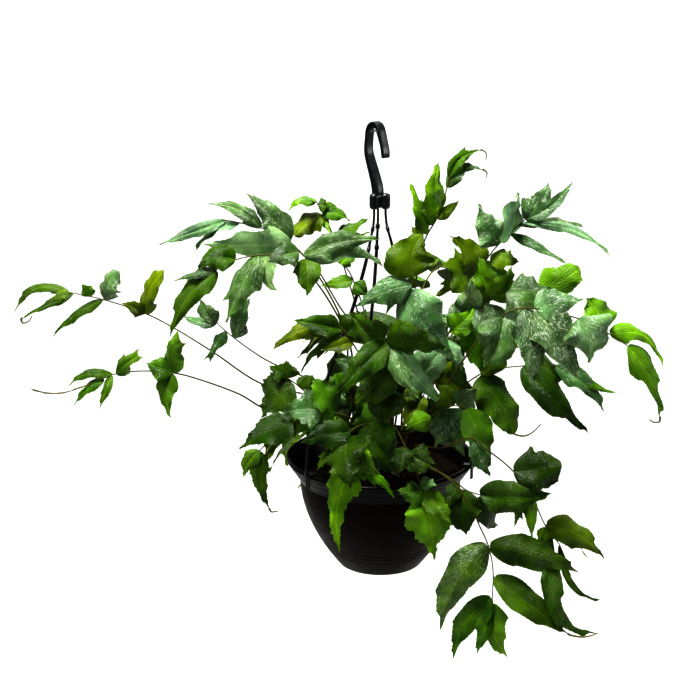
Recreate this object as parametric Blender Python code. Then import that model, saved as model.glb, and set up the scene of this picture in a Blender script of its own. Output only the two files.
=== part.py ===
"""Holly fern in a hanging basket.

A black plastic bowl hangs by three thin strands from a moulded hook. A fishtail holly fern fills it:
its fronds rise from a scaly crown on the compost, arch over the rim and hang down on all sides.
Metres, +Z up. The origin is the hang point, inside the top of the hook. +X is to the right in the
front view and +Y runs away from the viewer.
"""

import math
import random

import bmesh
import bpy
from mathutils import Matrix, Quaternion, Vector
from mathutils.bvhtree import BVHTree

MM = 0.001
GAP = 0.3 * MM

# Pot
RIM_RADIUS = 105 * MM
RIM_Z = -362 * MM
RIM_EDGE = 1.5 * MM
RIM_WIDTH = 4.9 * MM
POT_HEIGHT = 126 * MM
POT_WALL = 2.2 * MM
POT_SIDES = 28
COLLAR_DROP = 25 * MM
COLLAR_LIP = 3 * MM
COLLAR_RIBS = 3
RIB_STEP = 0.8 * MM
RIB_FACE = 0.92
RIB_TAPER = 0.3
BOWL_TOP_RADIUS = 90 * MM
BASE_RADIUS = 47 * MM
BASE_BEVEL = 2 * MM
BOWL_CURVE = 1.9
OUTER_RINGS = (0.0, 0.28, 0.54, 0.77, 0.93)
INNER_RINGS = (0.8, 0.42, 0.0)
DRAIN_RADIUS = 4.5 * MM
DRAIN_RING = 30 * MM
DRAIN_HOLES = 4
DRAIN_SIDES = 6

# Compost and crown
COMPOST_Z = RIM_Z - 20 * MM
COMPOST_MIDDLE = 60 * MM
CROWN_RADIUS = 54 * MM
CROWN_HEIGHT = 13 * MM
CROWN_FLOOR = 1.8 * MM
CROWN_SIDES = 14
CROWN_TURNS = (66, 38, 12)

# Where the hanger stands from the pot's axis: its strands bend a little, so that its hub and the hang
# point inside its hook are aside of the axis
HANG_PLACE = Vector((-6.9, 4.2, 0)) * MM
HUB_PLACE = Vector((-2.9, 0, 0)) * MM

# Hook, whose bar is given as (outward from the hang point, z, thickness) in mm before and after its arch,
# and whose arch is thickest on top
HOOK_DEPTH = 10 * MM
HOOK_CUT = 0.22
HOOK_TURN = -46
HOOK_SHANK = ((3.6, -72, 9.5), (3.4, -64, 9.5), (1.6, -56.5, 9.0), (-2.5, -45.5, 8.0), (-7.0, -34.5, 6.8),
              (-9.9, -26, 5.6), (-10.5, -18, 4.8))
HOOK_ARM = ((12.2, -13, 4.5), (13.7, -18, 4.5), (14.7, -23.5, 4.4), (15.0, -28.2, 3.0))
ARCH_REACH = 9.5 * MM
ARCH_RISE = 12.5 * MM
ARCH_Z = -8 * MM
ARCH_SIDE = 4.6 * MM
ARCH_TOP = 9 * MM
ARCH_TURNS = (0, 30, 60, 90, 120, 150)

# Hub
HUB_TOP_Z = -66.5 * MM
HUB_HEIGHT = 17 * MM
HUB_RADIUS = 7.5 * MM
HUB_INSET = 1.2 * MM
HUB_BEVEL = 3 * MM
HUB_SIDES = 10
LOBE_RADIUS = 5.2 * MM
LOBE_RING = 7.2 * MM
LOBE_BEVEL = 4.2 * MM
LOBE_SIDES = 6

# Strands, whose route is given as (distance from the pot's axis, height above the rim) in mm, and the
# heights above the rim of the ring collars on each strand, in mm
STRAND_RADIUS = 1.7 * MM
STRAND_SIDES = 5
STRAND_AZIMUTHS = {"back": 99, "left": 222, "right": 338}
STRAND_ROUTE = ((7.4, 278.2), (7.4, 272.0), (8.8, 260.0), (12.6, 247.0), (18.4, 227.0), (26.5, 205.0),
                (38.0, 178.0), (55.0, 146.0), (72.5, 113.0), (86.5, 84.0), (98.0, 56.0), (105.0, 30.0),
                (107.5, 10.0), (107.6, 1.0))
STRAND_COLLARS = {"back": (257.0, 232.0), "left": (257.0, 236.0), "right": (257.0, 234.0, 219.0, 209.0)}
COLLAR_RADIUS = 2.9 * MM
COLLAR_HALF = 1.6
COLLAR_EDGE = 0.5
COLLAR_ROOM = 3.0

# Clips that straddle the rim
CLIP_WIDTH = 7 * MM
CLIP_THICK = 2 * MM
CLIP_ROOM = 0.9 * MM
CLIP_LEG = 14 * MM
TONGUE_DROP = 4 * MM
TONGUE_ROOM = 1.8 * MM

# Stalks
STALK_FOOT_RADIUS = 1.6 * MM
STALK_TIP_RADIUS = 1.0 * MM
STALK_SIDES = 3
STALK_HOLE = 1.1 * MM
STALK_START = 6 * MM
STALK_SAG = 0.45
STALK_LIFT = 0.12
STALK_END = 1.5 * MM
FOOT_RADII = (18 * MM, 27 * MM, 36 * MM, 45 * MM)
FOOT_TURN = 9
FOOT_APART = 6.5 * MM
FOOT_TRIES = 20
# Moves in mm, to the viewer and to the right, tried in turn until a stalk is clear of the others
STALK_SHIFTS = [(toward, aside) for aside in (0, 4, -4) for toward in (0, 6, -6, 12, -12, 18, -18)]

# Leaflets: the lengths up to which each list holds of places where the solid has a row of points
LEAF_STATIONS = ((44 * MM, (0.0, 0.24, 0.62, 1.0)), (96 * MM, (0.0, 0.2, 0.46, 0.74, 1.0)),
                 (500 * MM, (0.0, 0.08, 0.2, 0.45, 0.72, 1.0)))
LEAF_THICK = 1.2 * MM
CLEARANCE = 0.5 * MM
# Where a leaflet is widest and where its ears stand, as parts of its length
SHOULDER = 0.28
EAR_PLACE = 0.2
EAR_SPREAD = 0.07
EAR_LEAD = 0.05
# Ranges that each leaflet's shape is drawn from, and the sizes of the waves along its edges
BOWS = (-0.1, 0.1)
ARCHES = (0.04, 0.13)
FOLDS = (-0.35, 0.15)
TWISTS = (-0.35, 0.35)
EARS = {1: (0.05, 0.36), -1: (0.0, 0.22)}
EDGE_WAVE = 0.07
EDGE_WAVES = 2.3
EDGE_LIFT = 0.16
EDGE_LIFTS = 1.4
# How much a leaflet looks up and outward besides to the viewer, and on the hidden sides
FRONT_FACE = (0.5, 0.55)
BACK_FACE = (0.7, 0.8)
LEAST_FACING = 0.8
# Sizes, moves of the tip in mm and rolls in degrees, tried in turn until a leaflet is clear of the others
LEAF_SIZES = (1.0, 0.8)
TIP_SHIFTS = (0, 8, -8, 16, -16, 25, -25, 35, -35, 48, -48, 60)
LEAF_ROLLS = (0, 25, -25, 50, -50)

# The front view that the fronds are laid out in: its pixels are 1.117 mm at the pot's axis
VIEW_SIZE = 700
VIEW_DROP = math.radians(16)
VIEW_DISTANCE = 1800 * MM
VIEW_PIXEL = 1.117 * MM
RIM_CENTRE_PIXEL = (380.5, 454.0)

# Each frond laid out in the front view has a stalk and leaflets. A stalk point is (x, y, toward): x and y
# in pixels of the view, from its top left corner, and toward in mm, from the pot's axis to the viewer.
# A leaflet is (foot x, foot y, tip x, tip y, width, lead) or the same and a bow: the width in pixels, the
# lead in mm, by which the tip is nearer to the viewer than the foot, and the bow as a part of the length.
FRONT_FRONDS = {
    "frond_far_left_high": (
        ((318, 398, 5), (262, 384, 0), (213, 352, -8), (174, 328, -14), (144, 313, -18), (105, 300, -20),
         (68, 292, -20)),
        ((148, 314, 164, 270, 17, 8), (146, 313, 121, 303, 14, 4), (105, 300, 120, 272, 20, 6),
         (104, 300, 51, 338, 12, 10), (90, 298, 82, 284, 13, 4), (73, 293, 21, 319, 8, 8, 0.05),
         (68, 292, 13, 315, 10, -6, -0.29), (66, 292, 50, 302, 9, 10))),
    "frond_far_left_low": (
        ((322, 425, 25), (268, 410, 28), (239, 394, 30), (201, 380, 32), (174, 373, 33), (142, 371, 34),
         (115, 374, 34), (98, 380, 34)),
        ((176, 374, 182, 338, 25, 6), (172, 373, 171, 418, 22, 10), (172, 373, 146, 363, 20, 4),
         (117, 374, 141, 353, 15, 4), (113, 374, 67, 387, 9, -4, -0.1), (104, 378, 74, 405, 9, 6),
         (98, 380, 20, 384, 3.5, 2, 0.18), (112, 375, 99, 409, 8, 8))),
    "frond_upper_left": (
        ((345, 330, 10), (318, 275, 5), (291, 243, 0), (262, 228, -4), (235, 222, -6), (224, 220, -8)),
        ((262, 226, 207, 204, 15, -4), (291, 240, 245, 192, 20, -6), (226, 220, 159, 245, 12, 6),
         (240, 223, 194, 253, 12, 10), (291, 246, 200, 245, 22, 16))),
    "frond_left_middle": (
        ((350, 345, 40), (322, 290, 42), (290, 258, 42), (262, 255, 42), (235, 260, 40), (216, 270, 40)),
        ((260, 256, 226, 323, 25, 16), (266, 256, 278, 292, 20, 10), (217, 270, 170, 338, 20, 10),
         (236, 260, 197, 275, 13, 2), (216, 270, 174, 281, 9, 4))),
    "frond_left_low": (
        ((325, 388, 5), (274, 364, 2), (252, 351, 0), (228, 333, 0), (216, 322, 0)),
        ((232, 337, 250, 297, 18, 4), (226, 331, 207, 361, 10, 6), (217, 323, 200, 298, 18, -4),
         (216, 322, 181, 315, 10, 2))),
    "frond_top_left": (
        ((362, 330, -50), (345, 270, -52), (330, 228, -50), (316, 201, -48)),
        ((316, 201, 288, 211, 9, 4, 0.42), (318, 205, 329, 207, 13, -3), (322, 212, 350, 221, 16, -4),
         (336, 240, 370, 217, 16, 4), (338, 246, 371, 232, 14, 10), (322, 216, 294, 236, 19, 12),
         (324, 218, 332, 234, 7, 12), (317, 202, 299, 209, 7, 12, 0.3))),
    "frond_centre_left": (
        ((368, 352, 62), (338, 304, 62), (318, 270, 60), (307, 259, 58), (298, 251, 56)),
        ((303, 255, 382, 239, 16, 14), (310, 262, 384, 267, 16, 20), (306, 258, 307, 296, 25, 16),
         (299, 252, 268, 262, 17, 6))),
    "frond_centre_left_low": (
        ((375, 385, 76), (352, 342, 80), (338, 325, 80), (326, 322, 78)),
        ((336, 325, 271, 351, 16, 10, 0.08), (332, 325, 306, 356, 9, 16), (342, 329, 292, 320, 20, 2),
         (352, 342, 320, 350, 12, 18), (346, 334, 366, 309, 30, -4))),
    "frond_centre_high": (
        ((372, 340, 30), (352, 277, 28), (337, 261, 26)),
        ((352, 280, 320, 286, 12, 8), (354, 284, 369, 297, 15, 6), (340, 264, 358, 250, 15, -4))),
    "frond_front_centre": (
        ((398, 380, 78), (403, 330, 92), (410, 292, 98), (414, 276, 98)),
        ((412, 284, 355, 307, 25, 12), (412, 288, 457, 360, 40, 14), (414, 277, 424, 232, 30, -8),
         (409, 294, 397, 306, 13, 16))),
    "frond_front_middle": (
        ((390, 400, 92), (388, 365, 102), (386, 338, 104)),
        ((386, 342, 335, 395, 24, 12), (387, 347, 420, 400, 18, 22), (388, 341, 452, 411, 24, 10),
         (386, 338, 447, 349, 28, -8), (386, 339, 350, 312, 24, -8), (387, 368, 352, 404, 33, 6),
         (389, 388, 384, 430, 27, 8))),
    "frond_centre_dark": (
        ((395, 410, 60), (410, 380, 64), (430, 352, 64), (452, 330, 60)),
        ((414, 374, 448, 336, 30, 4), (452, 331, 474, 308, 24, 2), (404, 390, 374, 364, 28, -4),
         (440, 342, 462, 372, 28, 8))),
    "frond_top_centre": (
        ((412, 340, -35), (416, 280, -38), (424, 242, -38), (438, 216, -38), (447, 188, -36),
         (450, 176, -36)),
        ((428, 234, 409, 180, 13, 0), (438, 214, 439, 161, 14, -3), (450, 178, 482, 150, 13, 3, 0.25),
         (447, 188, 484, 170, 13, 6), (440, 205, 430, 192, 13, 4), (432, 225, 417, 210, 14, 8),
         (424, 242, 411, 226, 15, 10), (436, 218, 460, 200, 11, -4))),
    "frond_upper_right": (
        ((425, 385, -10), (455, 320, -12), (485, 262, -12), (508, 235, -10), (526, 219, -8)),
        ((526, 219, 549, 182, 26, -4), (526, 219, 574, 180, 14, 6), (518, 226, 589, 229, 9, 2),
         (522, 223, 617, 262, 8, 10, 0.08), (510, 233, 570, 266, 12, 14), (500, 245, 478, 204, 28, -2),
         (506, 237, 518, 194, 26, -8), (492, 254, 520, 262, 20, 12), (480, 270, 450, 236, 30, 4),
         (474, 285, 440, 262, 30, 8))),
    "frond_right_middle": (
        ((428, 395, 25), (450, 345, 30), (475, 305, 34), (505, 290, 36), (540, 290, 36)),
        ((506, 291, 554, 288, 34, 6), (540, 290, 580, 268, 32, -4), (480, 302, 478, 256, 28, -6),
         (466, 318, 472, 278, 26, 6), (490, 297, 512, 266, 28, -8), (468, 314, 436, 318, 28, 10),
         (480, 303, 500, 352, 34, 4), (515, 290, 530, 350, 26, -6), (464, 322, 489, 395, 28, 10))),
    "frond_right": (
        ((432, 410, 70), (462, 362, 82), (497, 320, 90), (527, 308, 92), (580, 319, 92), (606, 332, 90),
         (628, 346, 88)),
        ((503, 317, 483, 368, 40, 16), (526, 308, 530, 383, 30, 18), (534, 309, 578, 380, 34, 14),
         (536, 309, 584, 299, 28, -8), (578, 318, 588, 363, 34, 12), (604, 331, 586, 298, 27, -8),
         (610, 333, 664, 370, 18, -4, 0.18), (628, 346, 660, 419, 31, 8, 0.14))),
    "frond_right_low": (
        ((425, 415, 40), (455, 392, 46), (485, 372, 48), (522, 366, 48), (556, 366, 46)),
        ((522, 367, 589, 434, 30, 12), (505, 369, 484, 340, 30, -6), (478, 378, 514, 434, 35, 16),
         (556, 366, 605, 413, 14, 6), (556, 366, 618, 394, 12, -4), (550, 366, 581, 388, 15, 14),
         (540, 366, 530, 336, 24, -8), (466, 385, 452, 352, 26, 4))),
    "frond_lower_right": (
        ((440, 448, 95), (470, 438, 112), (486, 449, 118), (510, 468, 120), (530, 492, 122), (545, 525, 122),
         (560, 545, 120)),
        ((513, 471, 562, 465, 44, 4), (474, 441, 491, 478, 17, 8), (528, 489, 532, 540, 13, 6),
         (524, 485, 514, 528, 11, 10), (545, 525, 604, 559, 26, -4, 0.13), (546, 528, 588, 558, 14, 6),
         (550, 533, 598, 634, 19, -8, -0.2), (560, 545, 604, 601, 10, 4, -0.12),
         (546, 528, 540, 550, 13, 4))),
    "frond_lower_right_inner": (
        ((428, 466, 112), (453, 480, 120), (468, 491, 122), (490, 497, 122)),
        ((478, 496, 553, 493, 29, 4), (481, 496, 497, 526, 28, 8), (466, 490, 467, 535, 38, 10),
         (458, 484, 444, 512, 14, 6))),
    "frond_bottom_right": (
        ((418, 462, 118), (445, 476, 132), (468, 502, 136), (480, 527, 136), (488, 545, 136), (493, 570, 136),
         (492, 604, 136)),
        ((487, 543, 440, 630, 34, 8, -0.18), (489, 546, 580, 573, 27, -4, 0.06),
         (493, 576, 570, 635, 26, 6, 0.03), (492, 598, 453, 660, 25, 10, -0.2), (492, 603, 508, 658, 30, 2),
         (491, 603, 477, 654, 17, 8))),
    "frond_left_front": (
        ((340, 415, 48), (313, 398, 52), (296, 384, 52), (284, 376, 52)),
        ((292, 381, 261, 418, 33, 6), (287, 378, 286, 360, 20, -4), (287, 378, 269, 366, 16, 0),
         (301, 388, 313, 375, 17, -6), (315, 400, 314, 380, 13, 4))),
    "frond_left_rim": (
        ((350, 418, 88), (322, 412, 96), (298, 420, 100), (275, 436, 98), (258, 452, 94)),
        ((330, 413, 280, 414, 33, 8), (336, 415, 313, 376, 36, -4), (296, 422, 239, 449, 26, 8),
         (260, 450, 270, 510, 14, 8), (260, 451, 244, 478, 13, 2), (318, 413, 294, 438, 20, 14),
         (338, 415, 319, 433, 20, 14))),
    "frond_pot_front_left": (
        ((378, 425, 96), (366, 424, 112), (352, 430, 120), (344, 442, 123), (352, 466, 125)),
        ((350, 431, 299, 443, 26, 2), (343, 441, 381, 476, 27, 10), (352, 465, 340, 552, 30, 4),
         (345, 444, 317, 470, 13, 8), (352, 465, 394, 498, 19, 2), (347, 436, 350, 489, 46, -6),
         (366, 425, 400, 478, 36, 2))),
    "frond_pot_front_right": (
        ((392, 425, 98), (402, 440, 116), (415, 468, 124), (424, 497, 126)),
        ((424, 496, 434, 560, 38, 6), (423, 492, 452, 526, 18, 2), (408, 453, 437, 468, 24, 6),
         (422, 491, 397, 490, 20, 6), (420, 484, 437, 486, 12, 10), (405, 447, 400, 474, 18, 12))),
    "frond_centre_low": (
        ((395, 430, 70), (385, 412, 84), (378, 398, 88)),
        ((386, 413, 352, 424, 22, 8), (380, 402, 398, 388, 20, 6))),
    "frond_inner_left": (
        ((362, 420, 22), (346, 398, 26), (334, 388, 28)),
        ((346, 397, 374, 396, 26, 6), (336, 390, 352, 370, 20, 6), (334, 388, 314, 384, 20, 0),
         (338, 392, 304, 400, 22, 8), (352, 405, 318, 428, 24, 6))),
    "frond_inner_right": (
        ((408, 420, 18), (428, 385, 22), (444, 348, 24)),
        ((436, 368, 476, 388, 30, 6), (444, 350, 430, 312, 28, 0), (426, 388, 392, 372, 28, 8),
         (440, 356, 474, 336, 26, -6), (416, 405, 456, 424, 30, 8), (422, 395, 402, 430, 24, 12))),
    "frond_inner_front": (
        ((385, 425, 50), (376, 395, 54), (362, 370, 56)),
        ((374, 392, 410, 378, 24, 6), (364, 373, 334, 358, 22, 4), (363, 371, 380, 342, 22, -6),
         (380, 410, 344, 432, 26, 8))),
    "frond_right_rim": (
        ((412, 432, 56), (432, 416, 72), (452, 406, 84), (468, 408, 88)),
        ((440, 411, 464, 456, 36, 12), (468, 408, 488, 474, 26, 4), (430, 416, 404, 430, 20, 10),
         (458, 406, 478, 388, 24, -6), (450, 406, 438, 384, 20, -4))),
}

# Each frond on the sides away from the viewer follows a rule: its azimuth in degrees, its reach from the
# pot's axis, its height at the top of its arch and at its tip above the rim, all in mm, and its leaflets
BACK_FRONDS = {
    "frond_back_right_side": (18, 190, 135, 105, 6),
    "frond_back_right": (42, 270, 130, 60, 7),
    "frond_back_right_high": (58, 215, 190, 150, 6),
    "frond_back_right_low": (74, 215, 45, -95, 6),
    "frond_back": (88, 270, 100, 0, 7),
    "frond_back_low": (104, 205, 40, -110, 6),
    "frond_back_left_high": (108, 150, 130, 75, 6),
    "frond_back_left": (133, 150, 50, -10, 6),
    "frond_back_left_side": (150, 95, 50, 10, 5),
    "frond_back_inner": (75, 120, 120, 100, 5),
}

# A back frond's arch after its foot: the part of its reach, the shares of its top and end heights and a
# rise in mm
ARCH = ((0.25, 0.55, 0.0, 12), (0.45, 0.9, 0.0, 6), (0.65, 1.0, 0.0, 0), (0.85, 0.55, 0.55, 0),
        (1.0, 0.0, 1.0, 0))
# Its leaflets: where the first and the last one stand, the longest one's length, by how much they get
# shorter to both ends, and the ranges of their length, slant forward, slant down and width
LEAFLET_SPAN = (0.42, 0.98)
LEAFLET_LENGTH = 92 * MM
LEAFLET_TAPER = 26 * MM
LEAFLET_LENGTHS = (0.85, 1.1)
LEAFLET_SLANTS = (0.35, 0.7)
LEAFLET_DROPS = (-0.75, -0.15)
LEAFLET_WIDTHS = (0.32, 0.42)


def clear_scene():
    """Start from an empty scene."""
    for thing in list(bpy.data.objects):
        bpy.data.objects.remove(thing, do_unlink=True)


def make_material(name, colour, roughness):
    """A plain Principled material."""
    material = bpy.data.materials.new(name)
    material.use_nodes = True
    shader = material.node_tree.nodes["Principled BSDF"]
    shader.inputs["Base Color"].default_value = (*colour, 1.0)
    shader.inputs["Roughness"].default_value = roughness
    shader.inputs["Metallic"].default_value = 0.0
    return material


def finished_object(name, shape, material):
    """An object of a bmesh shape, triangulated, with its faces turned outward."""
    bmesh.ops.recalc_face_normals(shape, faces=shape.faces)
    bmesh.ops.triangulate(shape, faces=shape.faces)
    mesh = bpy.data.meshes.new(name)
    shape.to_mesh(mesh)
    shape.free()
    mesh.materials.append(material)
    thing = bpy.data.objects.new(name, mesh)
    bpy.context.scene.collection.objects.link(thing)
    return thing


def mesh_object(name, points, faces, material=None):
    """An object of the given points and faces."""
    mesh = bpy.data.meshes.new(name)
    mesh.from_pydata([tuple(point) for point in points], [], faces)
    shape = bmesh.new()
    shape.from_mesh(mesh)
    bpy.data.meshes.remove(mesh)
    return finished_object(name, shape, material)


def turned_object(name, profile, sides, material=None):
    """A body of revolution about the Z axis; its profile of (radius, z) starts and ends on the axis."""
    shape = bmesh.new()
    chain = [shape.verts.new((radius, 0.0, z)) for radius, z in profile]
    edges = [shape.edges.new(pair) for pair in zip(chain, chain[1:])]
    bmesh.ops.spin(shape, geom=chain + edges, cent=(0, 0, 0), axis=(0, 0, 1),
                   angle=math.tau, steps=sides, use_merge=True)
    bmesh.ops.remove_doubles(shape, verts=shape.verts, dist=0.01 * MM)
    thing = finished_object(name, shape, material)
    thing.data.shade_smooth()
    thing.data.set_sharp_from_angle(angle=math.radians(35))
    return thing


def join_solids(base, others, operation="UNION"):
    """Apply one Boolean of all the others, held in a collection, to the base solid."""
    group = bpy.data.collections.new(base.name + "_parts")
    bpy.context.scene.collection.children.link(group)
    for other in others:
        bpy.context.scene.collection.objects.unlink(other)
        group.objects.link(other)
    boolean = base.modifiers.new("join", "BOOLEAN")
    boolean.operand_type = "COLLECTION"
    boolean.collection = group
    boolean.operation = operation
    bpy.context.view_layer.update()
    graph = bpy.context.evaluated_depsgraph_get()
    joined = bpy.data.meshes.new_from_object(base.evaluated_get(graph))
    base.modifiers.clear()
    base.data = joined
    for other in list(group.objects):
        bpy.data.objects.remove(other, do_unlink=True)
    bpy.data.collections.remove(group)


def sweep(route, sections, first_across):
    """Points and faces of a closed bar: a section is a ring of (across, up) offsets at its route point."""
    count = len(sections[0])
    points = []
    across = first_across
    for index, centre in enumerate(route):
        ahead = route[min(index + 1, len(route) - 1)]
        behind = route[max(index - 1, 0)]
        along = (ahead - behind).normalized()
        across = (across - across.dot(along) * along).normalized()
        up = along.cross(across)
        points += [centre + across * side + up * rise for side, rise in sections[index]]
    faces = [tuple(range(count)), tuple(range(len(points) - count, len(points)))]
    for ring in range(len(route) - 1):
        for corner in range(count):
            following = (corner + 1) % count
            faces.append((ring * count + corner, ring * count + following,
                          (ring + 1) * count + following, (ring + 1) * count + corner))
    return points, faces


def ring_section(radius, sides):
    """A regular ring of section offsets."""
    return [(radius * math.cos(math.tau * turn / sides), radius * math.sin(math.tau * turn / sides))
            for turn in range(sides)]


def any_across(route):
    """A direction square to the start of a route."""
    along = (route[1] - route[0]).normalized()
    guide = Vector((0, 1, 0)) if abs(along.y) < 0.9 else Vector((1, 0, 0))
    return (guide - guide.dot(along) * along).normalized()


def upright_drill(centre, radius, sides, below, above):
    """A cutter along an upright hole."""
    route = [centre - Vector((0, 0, below)), centre + Vector((0, 0, above))]
    return mesh_object("drill", *sweep(route, [ring_section(radius, sides)] * 2, any_across(route)))


def outward_at(azimuth):
    """The level direction at an azimuth in degrees."""
    return Vector((math.cos(math.radians(azimuth)), math.sin(math.radians(azimuth)), 0))


def bowl_point(part):
    """The bowl's outer (radius, z) at a part of its depth below the collar."""
    radius = BASE_RADIUS + (BOWL_TOP_RADIUS - BASE_RADIUS) * (1 - part ** BOWL_CURVE)
    return radius, RIM_Z - COLLAR_DROP - (POT_HEIGHT - COLLAR_DROP) * part


def pot_outside():
    """The pot's outer profile from the rim to the edge of its base, as (radius, z)."""
    profile = [(RIM_RADIUS - RIM_EDGE, RIM_Z), (RIM_RADIUS, RIM_Z - RIM_EDGE / 2)]
    rib = (COLLAR_DROP - COLLAR_LIP) / COLLAR_RIBS
    taper = (RIM_RADIUS - BOWL_TOP_RADIUS) / COLLAR_RIBS
    for index in range(COLLAR_RIBS):
        top = RIM_Z - COLLAR_LIP - index * rib
        radius = RIM_RADIUS - index * taper
        profile.append((radius - RIB_TAPER * taper, top))
        profile.append((radius - taper + RIB_STEP, top - rib * RIB_FACE))
    profile += [bowl_point(part) for part in OUTER_RINGS]
    profile.append((BASE_RADIUS - BASE_BEVEL, RIM_Z - POT_HEIGHT))
    return profile


def pot_inside():
    """The pot's inner profile from its floor to its rim, as (radius, z)."""
    profile = [(BASE_RADIUS - POT_WALL, RIM_Z - POT_HEIGHT + POT_WALL)]
    for part in INNER_RINGS:
        radius, z = bowl_point(part)
        profile.append((radius - POT_WALL * (1 + 0.3 * part), z))
    profile.append((RIM_RADIUS - RIM_WIDTH, RIM_Z - COLLAR_LIP))
    profile.append((RIM_RADIUS - RIM_WIDTH, RIM_Z))
    return profile


def make_pot(material):
    """The black bowl with its ribbed collar and drain holes."""
    profile = [(0.0, RIM_Z - POT_HEIGHT + POT_WALL)] + pot_inside() + pot_outside()
    profile.append((0.0, RIM_Z - POT_HEIGHT))
    pot = turned_object("pot", profile, POT_SIDES, material)
    drills = []
    for index in range(DRAIN_HOLES):
        centre = outward_at(360 * (index + 0.5) / DRAIN_HOLES) * DRAIN_RING
        centre.z = RIM_Z - POT_HEIGHT
        drills.append(upright_drill(centre, DRAIN_RADIUS, DRAIN_SIDES, 2 * POT_WALL, 2 * POT_WALL))
    join_solids(pot, drills, "DIFFERENCE")


def make_compost(material):
    """The compost, which fills the pot up to 20 mm below the rim."""
    inner = pot_inside()
    (wide, high), (narrow, low) = inner[-2], inner[-3]
    edge = narrow + (wide - narrow) * (COMPOST_Z - low) / (high - low)
    profile = [(0.0, COMPOST_Z), (COMPOST_MIDDLE, COMPOST_Z), (edge - 2 * GAP, COMPOST_Z)]
    profile += [(radius - 2 * GAP, z + GAP) for radius, z in reversed(inner[:-2])]
    profile.append((0.0, inner[0][1] + GAP))
    turned_object("potting_compost", profile, POT_SIDES, material)


def make_crown(material, feet):
    """The fern's crown, a low mound on the compost with a plain hole for each stalk."""
    floor = COMPOST_Z + GAP
    profile = [(0.0, floor + CROWN_HEIGHT)]
    for turn in CROWN_TURNS:
        angle = math.radians(turn)
        profile.append((CROWN_RADIUS * math.cos(angle), floor + CROWN_HEIGHT * math.sin(angle)))
    profile += [(CROWN_RADIUS, floor), (0.0, floor)]
    crown = turned_object("fern_crown", profile, CROWN_SIDES, material)
    hole = STALK_FOOT_RADIUS + STALK_HOLE
    join_solids(crown, [upright_drill(foot, hole, 4, GAP, 2 * CROWN_HEIGHT) for foot in feet], "DIFFERENCE")


def hook_stations():
    """The hook's bar, from inside the hub over its arch to the arm's tip, as centres and thicknesses."""
    turn = outward_at(HOOK_TURN)
    shank = [(out * MM, z * MM, thick * MM) for out, z, thick in HOOK_SHANK]
    arm = [(out * MM, z * MM, thick * MM) for out, z, thick in HOOK_ARM]
    arch = []
    for angle in ARCH_TURNS:
        high = math.sin(math.radians(angle))
        arch.append((-ARCH_REACH * math.cos(math.radians(angle)), ARCH_Z + ARCH_RISE * high,
                     ARCH_SIDE + (ARCH_TOP - ARCH_SIDE) * high ** 2))
    return [(HANG_PLACE + turn * out + Vector((0, 0, z)), thick) for out, z, thick in shank + arch + arm]


def bar_section(width, depth):
    """A rectangular section with cut corners."""
    cut = HOOK_CUT * min(width, depth)
    half_w = width / 2
    half_d = depth / 2
    return [(half_w, half_d - cut), (half_w - cut, half_d), (cut - half_w, half_d), (-half_w, half_d - cut),
            (-half_w, cut - half_d), (cut - half_w, -half_d), (half_w - cut, -half_d), (half_w, cut - half_d)]


def hub_profile(radius, inset, bevel):
    """A turned knob of the hub with bevelled ends, as (radius, z)."""
    top = HUB_TOP_Z - inset
    bottom = HUB_TOP_Z - HUB_HEIGHT + inset
    return [(0.0, top), (0.7 * radius, top), (radius, top - bevel),
            (radius, bottom + bevel), (0.7 * radius, bottom), (0.0, bottom)]


def make_hook(material):
    """The hook and its three-lobed hub, one moulding."""
    stations = hook_stations()
    sections = [bar_section(HOOK_DEPTH, thick) for _, thick in stations]
    side = outward_at(HOOK_TURN + 90)
    hook = mesh_object("hanger_hook", *sweep([centre for centre, _ in stations], sections, side), material)
    middle = turned_object("hub", hub_profile(HUB_RADIUS, HUB_INSET, HUB_BEVEL), HUB_SIDES, material)
    middle.location = HUB_PLACE
    knobs = [middle]
    for azimuth in STRAND_AZIMUTHS.values():
        lobe = turned_object("lobe", hub_profile(LOBE_RADIUS, 0.0, LOBE_BEVEL), LOBE_SIDES, material)
        lobe.location = HUB_PLACE + outward_at(azimuth) * LOBE_RING
        knobs.append(lobe)
    join_solids(hook, knobs)
    hook.data.shade_flat()


def strand_stations(collars):
    """Heights in mm and radii along a strand, with the steps of its ring collars, from the hub down."""
    stations = [(height, STRAND_RADIUS) for _, height in STRAND_ROUTE]
    for height in collars:
        top = height + COLLAR_HALF
        bottom = height - COLLAR_HALF
        stations = [item for item in stations if not bottom - COLLAR_ROOM < item[0] < top + COLLAR_ROOM]
        stations += [(top + COLLAR_EDGE, STRAND_RADIUS), (top, COLLAR_RADIUS), (bottom, COLLAR_RADIUS),
                     (bottom - COLLAR_EDGE, STRAND_RADIUS)]
    return sorted(stations, reverse=True)


def strand_distance(height):
    """A strand's distance from the axis at a height, in mm."""
    for (out_a, high_a), (out_b, high_b) in zip(STRAND_ROUTE, STRAND_ROUTE[1:]):
        if high_b <= height <= high_a:
            return out_a + (out_b - out_a) * (high_a - height) / (high_a - high_b)
    return STRAND_ROUTE[-1][0]


def strand_centre(azimuth, height):
    """A strand's centre at a height above the rim in mm, moved towards the hub's place with its height."""
    share = height / STRAND_ROUTE[0][1]
    return (outward_at(azimuth) * strand_distance(height) * MM + HUB_PLACE * share
            + Vector((0, 0, RIM_Z + height * MM)))


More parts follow.
